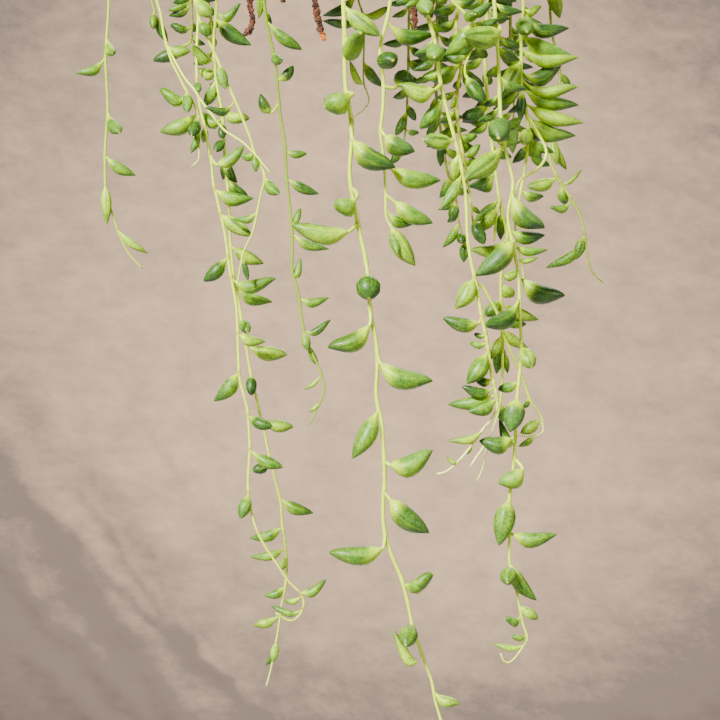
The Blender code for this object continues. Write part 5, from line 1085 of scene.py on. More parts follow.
def plastic_look(pot):
    """Moulded plastic, with dust low on the wall and fine turning lines."""
    look, make = new_look("pot_plastic", IOR=1.46)
    where = make.place()
    cloud = make.noise(where, 22.0, 4.0, 0.6)
    grain = make.noise(where, 900.0, 2.0, 0.7)
    height = make.part(where, "Z")
    rings = (height * 2600.0).math("SINE")
    colour = make.mix(pot.colour, tuple(c * 0.72 for c in pot.colour), make.step(cloud, 0.35, 0.75))
    dust = make.step(height, POT_RIM_Z * MM - 0.03, POT_BOTTOM_Z * MM) * make.step(grain, 0.4, 0.7)
    colour = make.mix(colour, pot.dust, (dust * 0.45 + make.step(grain, 0.62, 0.8) * 0.12).clamped())
    make.paint("Base Color", colour)
    make.paint("Roughness", 0.5 + cloud * 0.2)
    make.paint("Normal", make.bump(grain * 0.6 + rings * 0.12, 0.25, 0.0003))
    return look


def earth_look(soil):
    """Dark potting mix with lighter fibres and a few pale grains."""
    look, make = new_look("potting_mix")
    where = make.place()
    cloud = make.noise(where, 120.0, 5.0, 0.7)
    grain = make.noise(where, 700.0, 4.0, 0.8)
    colour = make.mix(soil.colour, soil.light, make.step(cloud, 0.4, 0.75))
    colour = make.mix(colour, soil.grain, make.step(grain, 0.64, 0.74) * 0.7)
    make.paint("Base Color", colour)
    make.paint("Roughness", 0.85 + grain * 0.15)
    make.paint("Normal", make.bump(cloud * 0.6 + grain, 0.7, 0.0012))
    return look


def root_look(name, colour, light, tip, low):
    """Dry root with clinging soil, and its tip below a height."""
    look, make = new_look(name)
    where = make.place()
    cloud = make.noise(where, 300.0, 4.0, 0.7)
    grain = make.noise(where, 1300.0, 3.0, 0.8)
    shade = make.mix(colour, light, make.step(cloud, 0.42, 0.7))
    shade = make.mix(shade, tuple(c * 0.4 for c in colour), make.step(grain, 0.58, 0.72) * 0.6)
    shade = make.mix(shade, tip, make.step(make.part(where, "Z"), low + 0.004, low + 0.002))
    make.paint("Base Color", shade)
    make.paint("Roughness", 0.75 + grain * 0.25)
    make.paint("Normal", make.bump(cloud + grain * 0.6, 0.8, 0.0009))
    return look


def steel_look(hanger):
    """Galvanised steel with a faint spangle and fine drawing lines."""
    look, make = new_look("galvanised_steel", Metallic=1.0)
    where = make.place()
    spangle = make.node("ShaderNodeTexVoronoi", None, {"Vector": where, "Scale": 420.0})
    patch = Value(make, spangle.outputs["Distance"])
    grain = make.noise(where, 1600.0, 3.0, 0.7)
    stain = make.noise(where, 60.0, 3.0, 0.6)
    colour = make.mix(hanger.colour, tuple(c * 0.7 for c in hanger.colour), patch)
    colour = make.mix(colour, hanger.stain, make.step(stain, 0.58, 0.78) * 0.5)
    make.paint("Base Color", colour)
    make.paint("Roughness", 0.3 + stain * 0.3)
    make.paint("Normal", make.bump(grain, 0.2, 0.0002))
    return look


# Meshes


def new_mesh(name, vertices, faces):
    """Mesh of points in millimetres."""
    mesh = bpy.data.meshes.new(name)
    mesh.from_pydata([tuple(MM * c for c in p) for p in vertices], [], faces)
    mesh.validate()
    return mesh


def place_mesh(name, mesh, look=None):
    """Object at the origin that shows a mesh."""
    if look is not None:
        mesh.materials.append(look)
    item = bpy.data.objects.new(name, mesh)
    bpy.context.scene.collection.objects.link(item)
    return item


def carry(mesh, name, values, kind="FLOAT"):
    """Store one number or vector for each point of a mesh."""
    layer = mesh.attributes.new(name, kind, "POINT")
    values = np.asarray(values, dtype=np.int32 if kind == "INT" else np.float32).ravel()
    layer.data.foreach_set("vector" if kind == "FLOAT_VECTOR" else "value", values)


def set_angle(mesh, angle):
    """Shade smooth except over edges sharper than the angle."""
    mesh.shade_smooth()
    mesh.set_sharp_from_angle(angle=math.radians(angle))


def settle_modifier(item):
    """Turn the object's live result into its plain mesh."""
    evaluated = item.evaluated_get(bpy.context.evaluated_depsgraph_get())
    mesh = bpy.data.meshes.new_from_object(evaluated)
    item.modifiers.clear()
    item.data = mesh
    mesh.name = item.name
    return mesh


def set_input(modifier, name, value):
    """Set a modifier's input by its socket's identifier."""
    for socket in modifier.node_group.interface.items_tree:
        if socket.item_type == "SOCKET" and socket.in_out == "INPUT" and socket.name == name:
            modifier[socket.identifier] = value
            return
    raise KeyError(name)


def add_tree(item, tree, **values):
    """Give the object a Geometry Nodes modifier with its inputs set."""
    modifier = item.modifiers.new(tree.name, "NODES")
    modifier.node_group = tree
    for name, value in values.items():
        set_input(modifier, name.replace("_", " "), value)
    return modifier


def new_tree(name, sockets):
    """Geometry Nodes tree with a geometry input and output and named inputs."""
    tree = bpy.data.node_groups.new(name, "GeometryNodeTree")
    tree.is_modifier = True
    tree.interface.new_socket("Geometry", in_out="INPUT", socket_type="NodeSocketGeometry")
    for title, kind, default in sockets:
        socket = tree.interface.new_socket(title, in_out="INPUT", socket_type=kind)
        if default is not None:
            socket.default_value = default
    tree.interface.new_socket("Geometry", in_out="OUTPUT", socket_type="NodeSocketGeometry")
    make = Maker(tree)
    return tree, make, make.node("NodeGroupInput").outputs


def end_tree(make, geometry, material):
    """Close a tree: real geometry, smooth, with its material."""
    real = make.node("GeometryNodeRealizeInstances", None, {"Geometry": geometry})
    smooth = make.node("GeometryNodeSetShadeSmooth", None, {"Geometry": real.outputs[0]})
    painted = make.node("GeometryNodeSetMaterial", None,
                        {"Geometry": smooth.outputs[0], "Material": material})
    make.node("NodeGroupOutput", None, {"Geometry": painted.outputs[0]})


def named(make, name, kind="FLOAT"):
    """Named attribute field."""
    return make.node("GeometryNodeInputNamedAttribute", {"data_type": kind}, {"Name": name}).outputs[0]


def bead_tree():
    """Tree that puts a bead on each marked point and lets it sag."""
    tree, make, given = new_tree("beads_on_stem", (
        ("Bead Shapes", "NodeSocketCollection", None), ("Bead Scale", "NodeSocketFloat", 1.0),
        ("Sag Scale", "NodeSocketFloat", 1.0), ("Material", "NodeSocketMaterial", None)))
    parts = make.node("GeometryNodeSeparateGeometry", {"domain": "POINT"},
                      {"Geometry": given["Geometry"], "Selection": named(make, "site")})
    shapes = make.node("GeometryNodeCollectionInfo", {"transform_space": "ORIGINAL"},
                       {"Collection": given["Bead Shapes"], "Separate Children": True,
                        "Reset Children": True})
    size = make.node("ShaderNodeVectorMath", {"operation": "SCALE"},
                     {0: named(make, "size", "FLOAT_VECTOR"), "Scale": given["Bead Scale"]})
    beads = make.node("GeometryNodeInstanceOnPoints", None,
                      {"Points": parts.outputs[0], "Instance": shapes.outputs[0], "Pick Instance": True,
                       "Instance Index": named(make, "shape", "INT"),
                       "Rotation": named(make, "turn", "FLOAT_VECTOR"), "Scale": size.outputs[0]})
    real = make.node("GeometryNodeRealizeInstances", None, {"Geometry": beads.outputs[0]})
    along = Value(make, named(make, "along"))
    sag = Value(make, named(make, "sag")) * Value(make, given["Sag Scale"])
    drop = make.vector(0.0, 0.0, sag * along * (1.0 - along) * (1.0 - along) * -6.75)
    sagging = make.node("GeometryNodeSetPosition", None, {"Geometry": real.outputs[0], "Offset": drop})
    joined = make.node("GeometryNodeJoinGeometry")
    make.feed(joined.inputs[0], parts.outputs[1])
    make.feed(joined.inputs[0], sagging.outputs[0])
    end_tree(make, joined.outputs[0], given["Material"])
    return tree


def crumb_tree():
    """Tree that strews crumbs over a surface with a fixed seed."""
    tree, make, given = new_tree("crumbs_on_surface", (
        ("Crumb Shapes", "NodeSocketCollection", None), ("Density", "NodeSocketFloat", 60000.0),
        ("Smallest", "NodeSocketFloat", 0.4), ("Largest", "NodeSocketFloat", 1.2),
        ("Seed", "NodeSocketInt", 3), ("Material", "NodeSocketMaterial", None)))
    strewn = make.node("GeometryNodeDistributePointsOnFaces", None,
                       {"Mesh": given["Geometry"], "Selection": named(make, "bare"),
                        "Density": given["Density"], "Seed": given["Seed"]})
    shapes = make.node("GeometryNodeCollectionInfo", {"transform_space": "ORIGINAL"},
                       {"Collection": given["Crumb Shapes"], "Separate Children": True,
                        "Reset Children": True})
    turn = make.node("FunctionNodeRandomValue", {"data_type": "FLOAT_VECTOR"},
                     {1: (math.tau, math.tau, math.tau), "Seed": given["Seed"]})
    size = make.node("FunctionNodeRandomValue", {"data_type": "FLOAT"},
                     {2: given["Smallest"], 3: given["Largest"], "Seed": given["Seed"]})
    pick = make.node("FunctionNodeRandomValue", {"data_type": "INT"},
                     {4: 0, 5: 3, "Seed": given["Seed"]})
    crumbs = make.node("GeometryNodeInstanceOnPoints", None,
                       {"Points": strewn.outputs[0], "Instance": shapes.outputs[0], "Pick Instance": True,
                        "Instance Index": pick.outputs[2], "Rotation": turn.outputs[0],
                        "Scale": size.outputs[1]})
    joined = make.node("GeometryNodeJoinGeometry")
    make.feed(joined.inputs[0], given["Geometry"])
    make.feed(joined.inputs[0], crumbs.outputs[0])
    end_tree(make, joined.outputs[0], given["Material"])
    return tree


# Settings


def length(name, description, default, low=0.0):
    """Size property in millimetres."""
    return bpy.props.FloatProperty(name=name, description=description, default=default, min=low)


def colour(name, description, default):
    """Colour property from an sRGB colour."""
    return bpy.props.FloatVectorProperty(name=name, description=description, default=srgb(*default),
                                         size=3, subtype="COLOR", min=0.0, max=1.0)


class BeadSettings(bpy.types.PropertyGroup):
    """Beads: colours and how full they are."""

    fullness: bpy.props.FloatProperty(name="Fullness", description="Scale of every bead's body",
                                      default=1.0, subtype="FACTOR", min=0.5, max=1.05)
    glow: bpy.props.FloatProperty(name="Glow", description="Light that passes through a bead",
                                  default=0.12, subtype="FACTOR", min=0.0, max=1.0)
    pale: colour("Young beads", "Colour of the youngest beads", (172, 208, 0))
    middle: colour("Grown beads", "Colour of grown beads", (58, 112, 0))
    # The old bead colour also gives the painted shade of the olive tone and of hidden beads
    dark: colour("Old beads", "Colour of old beads and of the tips", (10, 48, 3))
    window: colour("Window", "Colour of the window line on the upper side", (22, 58, 0))
    bloom: colour("Bloom", "Colour of the powdery bloom", (104, 150, 58))
    petiole: colour("Foot", "Colour of the slim foot of a bead", (180, 212, 0))
    point: colour("Point", "Colour of the tiny hard point", (214, 206, 50))


class StemSettings(bpy.types.PropertyGroup):
    """Stems: colours and swelling."""

    swelling: bpy.props.FloatProperty(name="Swelling", description="How much a stem swells at a bead",
                                      default=0.22, subtype="FACTOR", min=0.0, max=1.0)
    # The lit and dull stem colours are the stems' painted light and painted shade; the dull one also gives
    # random duller patches
    bright: colour("Lit stems", "Colour of stems in front, in painted light", (198, 224, 0))
    dull_and_shaded: colour("Dull and shaded stems", "Colour of dull stems and of stems in painted shade", (112, 142, 0))
    node: colour("Nodes", "Colour of the reddish nodes", (128, 62, 26))
    end: colour("Pale ends", "Colour of the pale ends", (238, 242, 120))


class PotSettings(bpy.types.PropertyGroup):
    """Pot: rounding and colours."""

    edge: length("Edge", "Rounding of the flange's edge, in millimetres", 0.8)
    colour: colour("Plastic", "Colour of the pot's plastic", (164, 92, 66))
    dust: colour("Dust", "Colour of dried dust on the pot", (206, 176, 152))


class SoilSettings(bpy.types.PropertyGroup):
    """Soil: crumbs and colours."""

    density: bpy.props.FloatProperty(name="Crumbs", description="Crumbs for each square metre",
                                     default=90000.0, min=0.0)
    colour: colour("Soil", "Colour of the potting mix", (58, 42, 32))
    light: colour("Fibres", "Colour of the lighter fibres", (112, 82, 58))
    grain: colour("Grains", "Colour of the pale grains", (196, 184, 166))


class HangerSettings(bpy.types.PropertyGroup):
    """Hanger: colours of the wire."""

    colour: colour("Steel", "Colour of the galvanised steel", (196, 198, 200))
    stain: colour("Stain", "Colour of old stains on it", (132, 118, 104))


class RootSettings(bpy.types.PropertyGroup):
    """Root tails: colours."""

    colour: colour("Root", "Colour of the dry roots", (58, 30, 18))
    light: colour("Fibre", "Colour of the lighter fibres", (128, 72, 40))
    fresh: colour("Fresh tip", "Colour of the fresh root tip", (200, 110, 10))


class StageSettings(bpy.types.PropertyGroup):
    """Stage: room, backdrop and light."""

    radius: bpy.props.FloatProperty(name="Room", description="Radius of the round room", default=6.5,
                                    unit="LENGTH", subtype="DISTANCE")
    floor_z: bpy.props.FloatProperty(name="Floor", description="Height of the floor", default=-2.2,
                                     unit="LENGTH", subtype="DISTANCE")
    glow: bpy.props.FloatProperty(name="Glow", description="How brightly the backdrop is lit",
                                  default=1.25, min=0.0)
    # The middle colour is the backdrop's painted light and the edge colour its painted shade
    cloth: colour("Backdrop", "Colour of the backdrop in the middle", (250, 212, 172))
    cloth_edge: colour("Backdrop edge", "Colour of the backdrop toward the edges", (150, 129, 117))
    floor: colour("Floor", "Colour of the plain floor", (226, 222, 216))


# Bead shapes: number of sides, and rings of (place along the bead, half-width, how far it sits low)
BEAD_SHAPES = (
    (8, ((0.0, 0.16, 0.0), (0.08, 0.18, 0.0), (0.15, 0.33, 0.02), (0.23, 0.64, 0.08), (0.33, 0.9, 0.15),
         (0.46, 1.0, 0.2), (0.6, 0.95, 0.19), (0.74, 0.75, 0.12), (0.86, 0.46, 0.03), (0.95, 0.19, -0.06))),
    (14, ((0.0, 0.12, 0.0), (0.12, 0.2, 0.0), (0.26, 0.72, 0.02), (0.45, 1.0, 0.04), (0.68, 0.95, 0.03),
          (0.86, 0.62, 0.0), (0.97, 0.2, 0.0))),
    (8, ((0.0, 0.26, 0.0), (0.12, 0.3, 0.0), (0.2, 0.5, 0.02), (0.3, 0.8, 0.06), (0.44, 1.0, 0.1),
         (0.6, 0.97, 0.1), (0.74, 0.8, 0.06), (0.86, 0.5, 0.0), (0.94, 0.26, -0.05), (0.985, 0.12, -0.08))),
    (8, ((0.0, 0.16, 0.0), (0.08, 0.2, -0.02), (0.15, 0.42, 0.02), (0.23, 0.74, 0.1), (0.34, 0.96, 0.2),
         (0.47, 1.0, 0.26), (0.61, 0.9, 0.22), (0.75, 0.68, 0.12), (0.87, 0.4, -0.02),
         (0.955, 0.16, -0.14))),
    (8, ((0.0, 0.15, 0.0), (0.09, 0.17, 0.0), (0.16, 0.3, 0.02), (0.25, 0.58, 0.06), (0.36, 0.86, 0.12),
         (0.5, 1.0, 0.16), (0.65, 0.97, 0.14), (0.79, 0.76, 0.08), (0.9, 0.44, 0.0), (0.97, 0.17, -0.05))),
    (12, ((0.0, 0.15, 0.0), (0.04, 0.3, 0.02), (0.1, 0.56, 0.06), (0.18, 0.8, 0.12), (0.29, 0.96, 0.18),
          (0.42, 1.0, 0.2), (0.56, 0.95, 0.19), (0.7, 0.8, 0.13), (0.83, 0.54, 0.04), (0.94, 0.22, -0.05))),
)


# Which of them a bead gets, by its width beside its length
USUAL_SHAPES = (0, 0, 3, 4)
ROUND_SHAPE, ROUND_FROM, ROUND_WIDTH = 1, 0.5, 0.86
NARROW_SHAPE, NARROW_TO = 2, 0.24
FULL_SHAPE, FULL_TO = 5, 0.75


def bands(rings, sides):
    """Faces between rings of points, ring by ring."""
    return [(base + k, base + (k + 1) % sides, base + sides + (k + 1) % sides, base + sides + k)
            for base in range(0, (rings - 1) * sides, sides) for k in range(sides)]


def bead_shape(number, count, rings):
    """One bead, a unit long on X and a unit wide, with its flatter window side up."""
    vertices, along, face, side = [], [], [], []
    for place, half, low in rings:
        for k in range(count):
            turn = math.pi / 2 + math.tau * k / count
            across, up = math.cos(turn), math.sin(turn)
            flat = 0.86 if up > 0.0 else 1.0
            vertices.append((place, 0.5 * half * across, 0.5 * half * up * flat - low * 0.5))
            along.append(place)
            face.append(up)
            side.append(across)
    vertices.append((1.0, 0.0, -rings[-1][2] * 0.8))
    along.append(1.0)
    face.append(0.0)
    side.append(1.0)
    faces = [tuple(range(count))[::-1]] + bands(len(rings), count)
    base = (len(rings) - 1) * count
    faces += [(base + k, base + (k + 1) % count, base + count) for k in range(count)]
    mesh = bpy.data.meshes.new(f"bead_shape_{number}")
    mesh.from_pydata(vertices, [], faces)
    for name, values in (("along", along), ("face", face), ("side", side),
                         ("leafy", [1.0] * len(vertices))):
        carry(mesh, name, values)
    return bpy.data.objects.new(mesh.name, mesh)


def bead_collection():
    """Collection of the bead shapes, outside the scene."""
    group = bpy.data.collections.new("bead_shapes")
    for number, (count, rings) in enumerate(BEAD_SHAPES):
        group.objects.link(bead_shape(number, count, rings))
    return group


def curve_through(points, step):
    """Smooth line through points, sampled about every step."""
    points = np.asarray(points, float)
    along = lengths_along(points)
    places = np.linspace(0.0, along[-1], max(3, int(along[-1] / step) + 1))
    slopes = np.empty_like(points)
    slopes[1:-1] = (points[2:] - points[:-2]) / (along[2:] - along[:-2])[:, None]
    slopes[0] = (points[1] - points[0]) / along[1]
    slopes[-1] = (points[-1] - points[-2]) / (along[-1] - along[-2])
    found = np.clip(np.searchsorted(along, places, side="right") - 1, 0, len(points) - 2)
    span = (along[found + 1] - along[found])[:, None]
    t = ((places - along[found]) / span[:, 0])[:, None]
    return ((2 * t ** 3 - 3 * t ** 2 + 1) * points[found] + (t ** 3 - 2 * t ** 2 + t) * span * slopes[found]
            + (3 * t ** 2 - 2 * t ** 3) * points[found + 1] + (t ** 3 - t ** 2) * span * slopes[found + 1])


def frames(points):
    """Unit vectors (along, side, up) at each point of a line, turned as little as possible."""
    along = np.gradient(np.asarray(points, float), axis=0)
    along /= np.linalg.norm(along, axis=1)[:, None]
    side = np.cross(along[0], (0.0, 1.0, 0.2))
    side /= np.linalg.norm(side)
    result = []
    for direction in along:
        side = side - direction * side.dot(direction)
        side /= np.linalg.norm(side)
        result.append((direction, side, np.cross(direction, side)))
    return result


def tube(points, radii, sides):
    """Closed tube along a line, with a radius at each point."""
    vertices = []
    for point, radius, (_, side, up) in zip(points, radii, frames(points)):
        for k in range(sides):
            turn = math.tau * k / sides
            vertices.append(tuple(point + radius * (math.cos(turn) * side + math.sin(turn) * up)))
    faces = [tuple(range(sides))[::-1]] + bands(len(points), sides)
    faces.append(tuple(range(len(vertices) - sides, len(vertices))))
    return vertices, faces


def bead_turn(bead, root):
    """Euler turn of a bead whose length runs on X and whose window faces up and a little outward."""
    ahead = bead.tip - root
    ahead = ahead / np.linalg.norm(ahead)
    up = np.array((0.0, 0.0, 1.0))
    if abs(ahead[2]) > 0.93:
        up = np.array((0.35, -0.9, 0.2))
    side = np.cross(up, ahead)
    side /= np.linalg.norm(side)
    up = np.cross(ahead, side)
    roll = math.radians(bead.roll if side[1] > 0.0 else -bead.roll)
    side, up = (math.cos(roll) * side + math.sin(roll) * up, math.cos(roll) * up - math.sin(roll) * side)
    turn = Matrix((ahead, side, up)).transposed()
    return tuple(turn.to_euler())


def pick_shape(bead, slim, draw):
    """Number of the bead shape that suits a bead's slimness."""
    if bead.foot is not None and slim < FULL_TO:
        return FULL_SHAPE
    if slim < NARROW_TO:
        return NARROW_SHAPE
    if slim > ROUND_FROM:
        return ROUND_SHAPE
    return draw.choice(USUAL_SHAPES)


def leafy_mesh(stem, swelling):
    """Stem tubes and one marked point for each bead, with what the tree and the skin need."""
    draw = random.Random(stem.name)
    lines = [curve_through(line, STEM_STEP) for line in stem.curves]
    every = np.concatenate(lines)
    roots = [every[np.linalg.norm(every - bead.root, axis=1).argmin()] for bead in stem.beads]
    vertices, faces, near, lit, ends = [], [], [], [], []
    for line, radius in zip(lines, stem.thickness):
        along = lengths_along(line)
        close = np.zeros(len(line))
        for root in roots:
            close = np.maximum(close, np.exp(-(np.linalg.norm(line - root, axis=1) / NODE_REACH) ** 2))
        thin = np.interp(along / along[-1], (0.0, 0.85, 1.0), (1.0, 0.85, 0.5))
        slim = THICKNESS.get(stem.name, THICKNESS_ELSE)
        shape, skin = tube(line, radius * slim * thin * (1.0 + swelling * close), STEM_SIDES)
        faces += [tuple(len(vertices) + k for k in face) for face in skin]
        vertices += shape
        near += list(np.repeat(close, STEM_SIDES))
        # Painted light: stems toward the front are painted lighter, stems farther back darker
        bright = np.clip(0.62 - line[:, 1] / 160.0, 0.12, 1.0)
        lit += list(np.repeat(bright, STEM_SIDES))
        white = np.clip((picture_of(line)[:, 1] - PALE_ENDS.get(stem.name, NO_PALE_END)) / 12.0, 0.0, 1.0)
        ends += list(np.repeat(white, STEM_SIDES))
    for bead, root in zip(stem.beads, roots):
        if bead.foot is not None:
            line = neck_line(bead, root)
            shape, skin = tube(line, np.linspace(0.8, 0.08 * bead.width, len(line)), STEM_SIDES)
            faces += [tuple(len(vertices) + k for k in face) for face in skin]
            vertices += shape
            # Necks get a fixed share of the painted light
            for row, value in ((near, 0.0), (lit, 0.75), (ends, 0.0)):
                row += [value] * len(shape)
    count, beads = len(vertices), stem.beads
    roots = [root if bead.foot is None else bead.foot for bead, root in zip(beads, roots)]
    mesh = new_mesh(stem.name + "_skin", vertices + roots, faces)
    rows = {name: [0.0] * count for name in ("pale", "dark", "bloom", "stripe", "sag")}
    # Stems carry their painted light as "pale" and their pale ends as "bloom"
    rows["pale"], rows["bloom"] = lit, ends
    rows.update(site=[0.0] * count, leafy=[0.0] * count, along=near, face=[0.0] * count,
                side=[1.0] * count, shade=[draw.random()] * count)
    size, turn, shape = [(1.0, 1.0, 1.0)] * count, [(0.0, 0.0, 0.0)] * count, [0] * count
    for bead, root in zip(beads, roots):
        reach = np.linalg.norm(bead.tip - root)
        pale, dark, bloom, stripe = (min(1.0, max(0.0, part + draw.uniform(-0.1, 0.1)))
                                     for part in TONES[bead.tone])
        for name, value in (("pale", pale), ("dark", dark), ("bloom", bloom), ("stripe", stripe),
                            ("sag", bead.sag * MM), ("site", 1.0), ("leafy", 1.0), ("along", 0.0),
                            ("face", 0.0), ("side", 0.0), ("shade", draw.random())):
            rows[name].append(value)
        slim = bead.width / reach
        width = bead.width * MM * (ROUND_WIDTH if slim > ROUND_FROM and bead.foot is None else 1.0)
        size.append((reach * MM, width, width * draw.uniform(0.92, 1.02)))
        turn.append(bead_turn(bead, root))
        shape.append(pick_shape(bead, slim, draw))
    for name, values in rows.items():
        carry(mesh, name, values)
    carry(mesh, "size", size, "FLOAT_VECTOR")
    carry(mesh, "turn", turn, "FLOAT_VECTOR")
    carry(mesh, "shape", shape, "INT")
    return mesh


class PlantWork:
    """What the leafy operators share: the layout, the tree, the shapes and the skin."""

    stems = {}
    tree = None
    shapes = None
    look = None

    @classmethod
    def prepare(cls, scene):
        """Lay the plant out and build the shared data once."""
        if not cls.stems:
            cls.stems = grow()
            cls.tree = bead_tree()
            cls.shapes = bead_collection()
            cls.look = succulent_look(scene.succulent_beads, scene.succulent_stems)

    @classmethod
    def build(cls, scene, names):
        """Build the leafy nodes of these names."""
        cls.prepare(scene)
        for name in names:
            item = place_mesh(name + "_grown", leafy_mesh(cls.stems[name], scene.succulent_stems.swelling))
            add_tree(item, cls.tree, Bead_Shapes=cls.shapes, Bead_Scale=scene.succulent_beads.fullness,
                     Sag_Scale=SAG_SHARE, Material=cls.look)
            settle_modifier(item)
            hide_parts(name)
            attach(item, "root")


# Pot, soil, hanger and root tails


def lathe(profile, steps):
    """Turned solid of (radius, z) points that start and end on the axis, from the bottom up."""
    vertices = [(0.0, 0.0, profile[0][1])]
    rings = []
    for radius, z in profile[1:-1]:
        rings.append([len(vertices) + k for k in range(steps)])
        vertices += [tuple(polar(radius, 360.0 * k / steps, z)) for k in range(steps)]
    top = len(vertices)
    vertices.append((0.0, 0.0, profile[-1][1]))
    faces = [(0, rings[0][(k + 1) % steps], rings[0][k]) for k in range(steps)]
    for low, high in zip(rings, rings[1:]):
        faces += [(low[k], low[(k + 1) % steps], high[(k + 1) % steps], high[k]) for k in range(steps)]
    faces += [(top, rings[-1][k], rings[-1][(k + 1) % steps]) for k in range(steps)]
    return vertices, faces


def upright(radius, centre, bottom, top, sides):
    """Upright prism with its axis at centre."""
    shape, faces = lathe([(0.0, bottom), (radius, bottom), (radius, top), (0.0, top)], sides)
    return [(x + centre[0], y + centre[1], z) for x, y, z in shape], faces


def cut_away(item, shapes):
    """Take shapes away from an object."""
    group = bpy.data.collections.new(item.name + "_cutters")
    for number, (vertices, faces) in enumerate(shapes):
        mesh = new_mesh(f"{item.name}_cutter_{number}", vertices, faces)
        group.objects.link(bpy.data.objects.new(mesh.name, mesh))
    bpy.context.scene.collection.children.link(group)
    modifier = item.modifiers.new("cut", "BOOLEAN")
    modifier.operation = "DIFFERENCE"
    modifier.operand_type = "COLLECTION"
    modifier.collection = group
    modifier.solver = "EXACT"
    mesh = settle_modifier(item)
    for cutter in list(group.objects):
        bpy.data.objects.remove(cutter, do_unlink=True)
    bpy.data.collections.remove(group)
    work = bmesh.new()
    work.from_mesh(mesh)
    bmesh.ops.remove_doubles(work, verts=work.verts, dist=WELD * MM)
    work.to_mesh(mesh)
    work.free()


def rounded(start, corner, end, radius, steps=4):
    """Points of a corner's rounding between two straight parts of a profile."""
    start, corner, end = (np.array(p, float) for p in (start, corner, end))
    first = corner + radius * (start - corner) / np.linalg.norm(start - corner)
    last = corner + radius * (end - corner) / np.linalg.norm(end - corner)
    points = []
    for k in range(steps + 1):
        t = k / steps
        points.append(tuple((1 - t) ** 2 * first + 2 * t * (1 - t) * corner + t ** 2 * last))
    return points


def build_pot(settings):
    """Turned pot with rounded edges, drain holes and holes for the wires."""
    top, under = POT_RIM_Z, POT_RIM_Z - FLANGE_THICKNESS
    bottom, floor = POT_BOTTOM_Z, POT_BOTTOM_Z + POT_FLOOR
    outer, inner = pot_wall(under, False), POT_RIM_RADIUS - POT_WALL
    corners = [(0.0, bottom), (POT_BASE_RADIUS, bottom), (outer, under), (FLANGE_RADIUS, under),
               (FLANGE_RADIUS, top), (inner, top), (pot_wall(floor, True), floor), (0.0, floor)]
    radii = (3.0, 1.5, settings.edge, settings.edge, settings.edge, 3.0)
    profile = [corners[0]]
    for k, radius in enumerate(radii):
        profile += rounded(corners[k], corners[k + 1], corners[k + 2], radius)
    profile.append(corners[-1])
    vertices, faces = lathe(profile, POT_STEPS_FINE)
    pot = place_mesh("pot_moulded", new_mesh("pot_moulded", vertices, faces), plastic_look(settings))
    cutters = [upright(DRAIN_RADIUS, drain_centre(k), bottom - 1.0, floor + 1.0, 32)
               for k in range(DRAIN_HOLES)]
    cutters += [upright(WIRE_HOLE_RADIUS, polar(WIRE_CIRCLE, angle), under - 1.0, top + 1.0, 16)
                for angle in WIRE_ANGLES]
    cut_away(pot, cutters)
    set_angle(pot.data, 35.0)
    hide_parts("pot")
    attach(pot, "root")


def crumb_collection():
    """Four crumb shapes, outside the scene."""
    draw = random.Random(SEED + 5)
    group = bpy.data.collections.new("crumb_shapes")
    for number in range(4):
        work = bmesh.new()
        bmesh.ops.create_icosphere(work, subdivisions=1, radius=MM)
        for vertex in work.verts:
            vertex.co *= draw.uniform(0.65, 1.15)
            vertex.co.z *= 0.7
        mesh = bpy.data.meshes.new(f"crumb_{number}")
        work.to_mesh(mesh)
        work.free()
        group.objects.link(bpy.data.objects.new(mesh.name, mesh))
    return group


def build_soil(settings):
    """Heaped potting mix with crumbs, inside the pot."""
    bottom = POT_BOTTOM_Z + POT_FLOOR + SOIL_GAP
    edge = pot_wall(SOIL_Z, True) - SOIL_GAP
    draw = random.Random(SEED + 6)
    radii = [edge * k / SOIL_RINGS for k in range(SOIL_RINGS, 0, -1)]
    profile = [(0.0, bottom), (pot_wall(bottom, True) - SOIL_GAP, bottom)]
    profile += [(radius, SOIL_Z + SOIL_CROWN * (1.0 - (radius / edge) ** 2) - 0.6) for radius in radii]
    profile.append((0.0, SOIL_Z + SOIL_CROWN - 0.6))
    vertices, faces = lathe(profile, SOIL_STEPS)
    lumps = [(draw.uniform(-edge, edge), draw.uniform(-edge, edge), draw.uniform(5.0, 12.0),
              draw.uniform(-0.8, 0.8)) for _ in range(SOIL_LUMPS)]
    shaped = []
    for x, y, z in vertices:
        if z > bottom + 1.0 and math.hypot(x, y) < edge - 1.0:
            z += sum(h * math.exp(-((x - a) ** 2 + (y - b) ** 2) / (w * w)) for a, b, w, h in lumps)
            z = min(z, SOIL_Z + SOIL_CROWN)
        shaped.append((x, y, z))
    mesh = new_mesh("soil_heaped", shaped, faces)
    carry(mesh, "bare", [1.0 if z > SOIL_Z - 2.0 and math.hypot(x, y) < edge - 1.2 else 0.0
                         for x, y, z in shaped])
    soil = place_mesh("soil_heaped", mesh)
    add_tree(soil, crumb_tree(), Crumb_Shapes=crumb_collection(), Density=settings.density, Smallest=0.3,
             Largest=1.5, Seed=4, Material=earth_look(settings))
    settle_modifier(soil)
    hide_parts("soil")
    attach(soil, "root")


def hook_line(steps):
    """Centreline of the hook: shank, return bend and the big bend that bears the load."""
    join = math.radians(HOOK_JOIN_ANGLE)
    centre = -(HOOK_BEND - HOOK_WIRE)
    small = HOOK_BEND * math.cos(join) / (1.0 - math.cos(join))
    start = centre - (HOOK_BEND + small) * math.sin(join)
    line = [(0.0, 0.0, FERRULE_TOP - HOOK_SEAT)]
    for k in range(steps + 1):
        turn = join * k / steps
        line.append((small * (1.0 - math.cos(turn)), 0.0, start + small * math.sin(turn)))
    sweep = math.radians(HOOK_END_ANGLE) + join
    for k in range(1, 3 * steps + 1):
        turn = -join + sweep * k / (3 * steps)
        line.append((HOOK_BEND * math.cos(turn), 0.0, centre + HOOK_BEND * math.sin(turn)))
    return np.array(line)


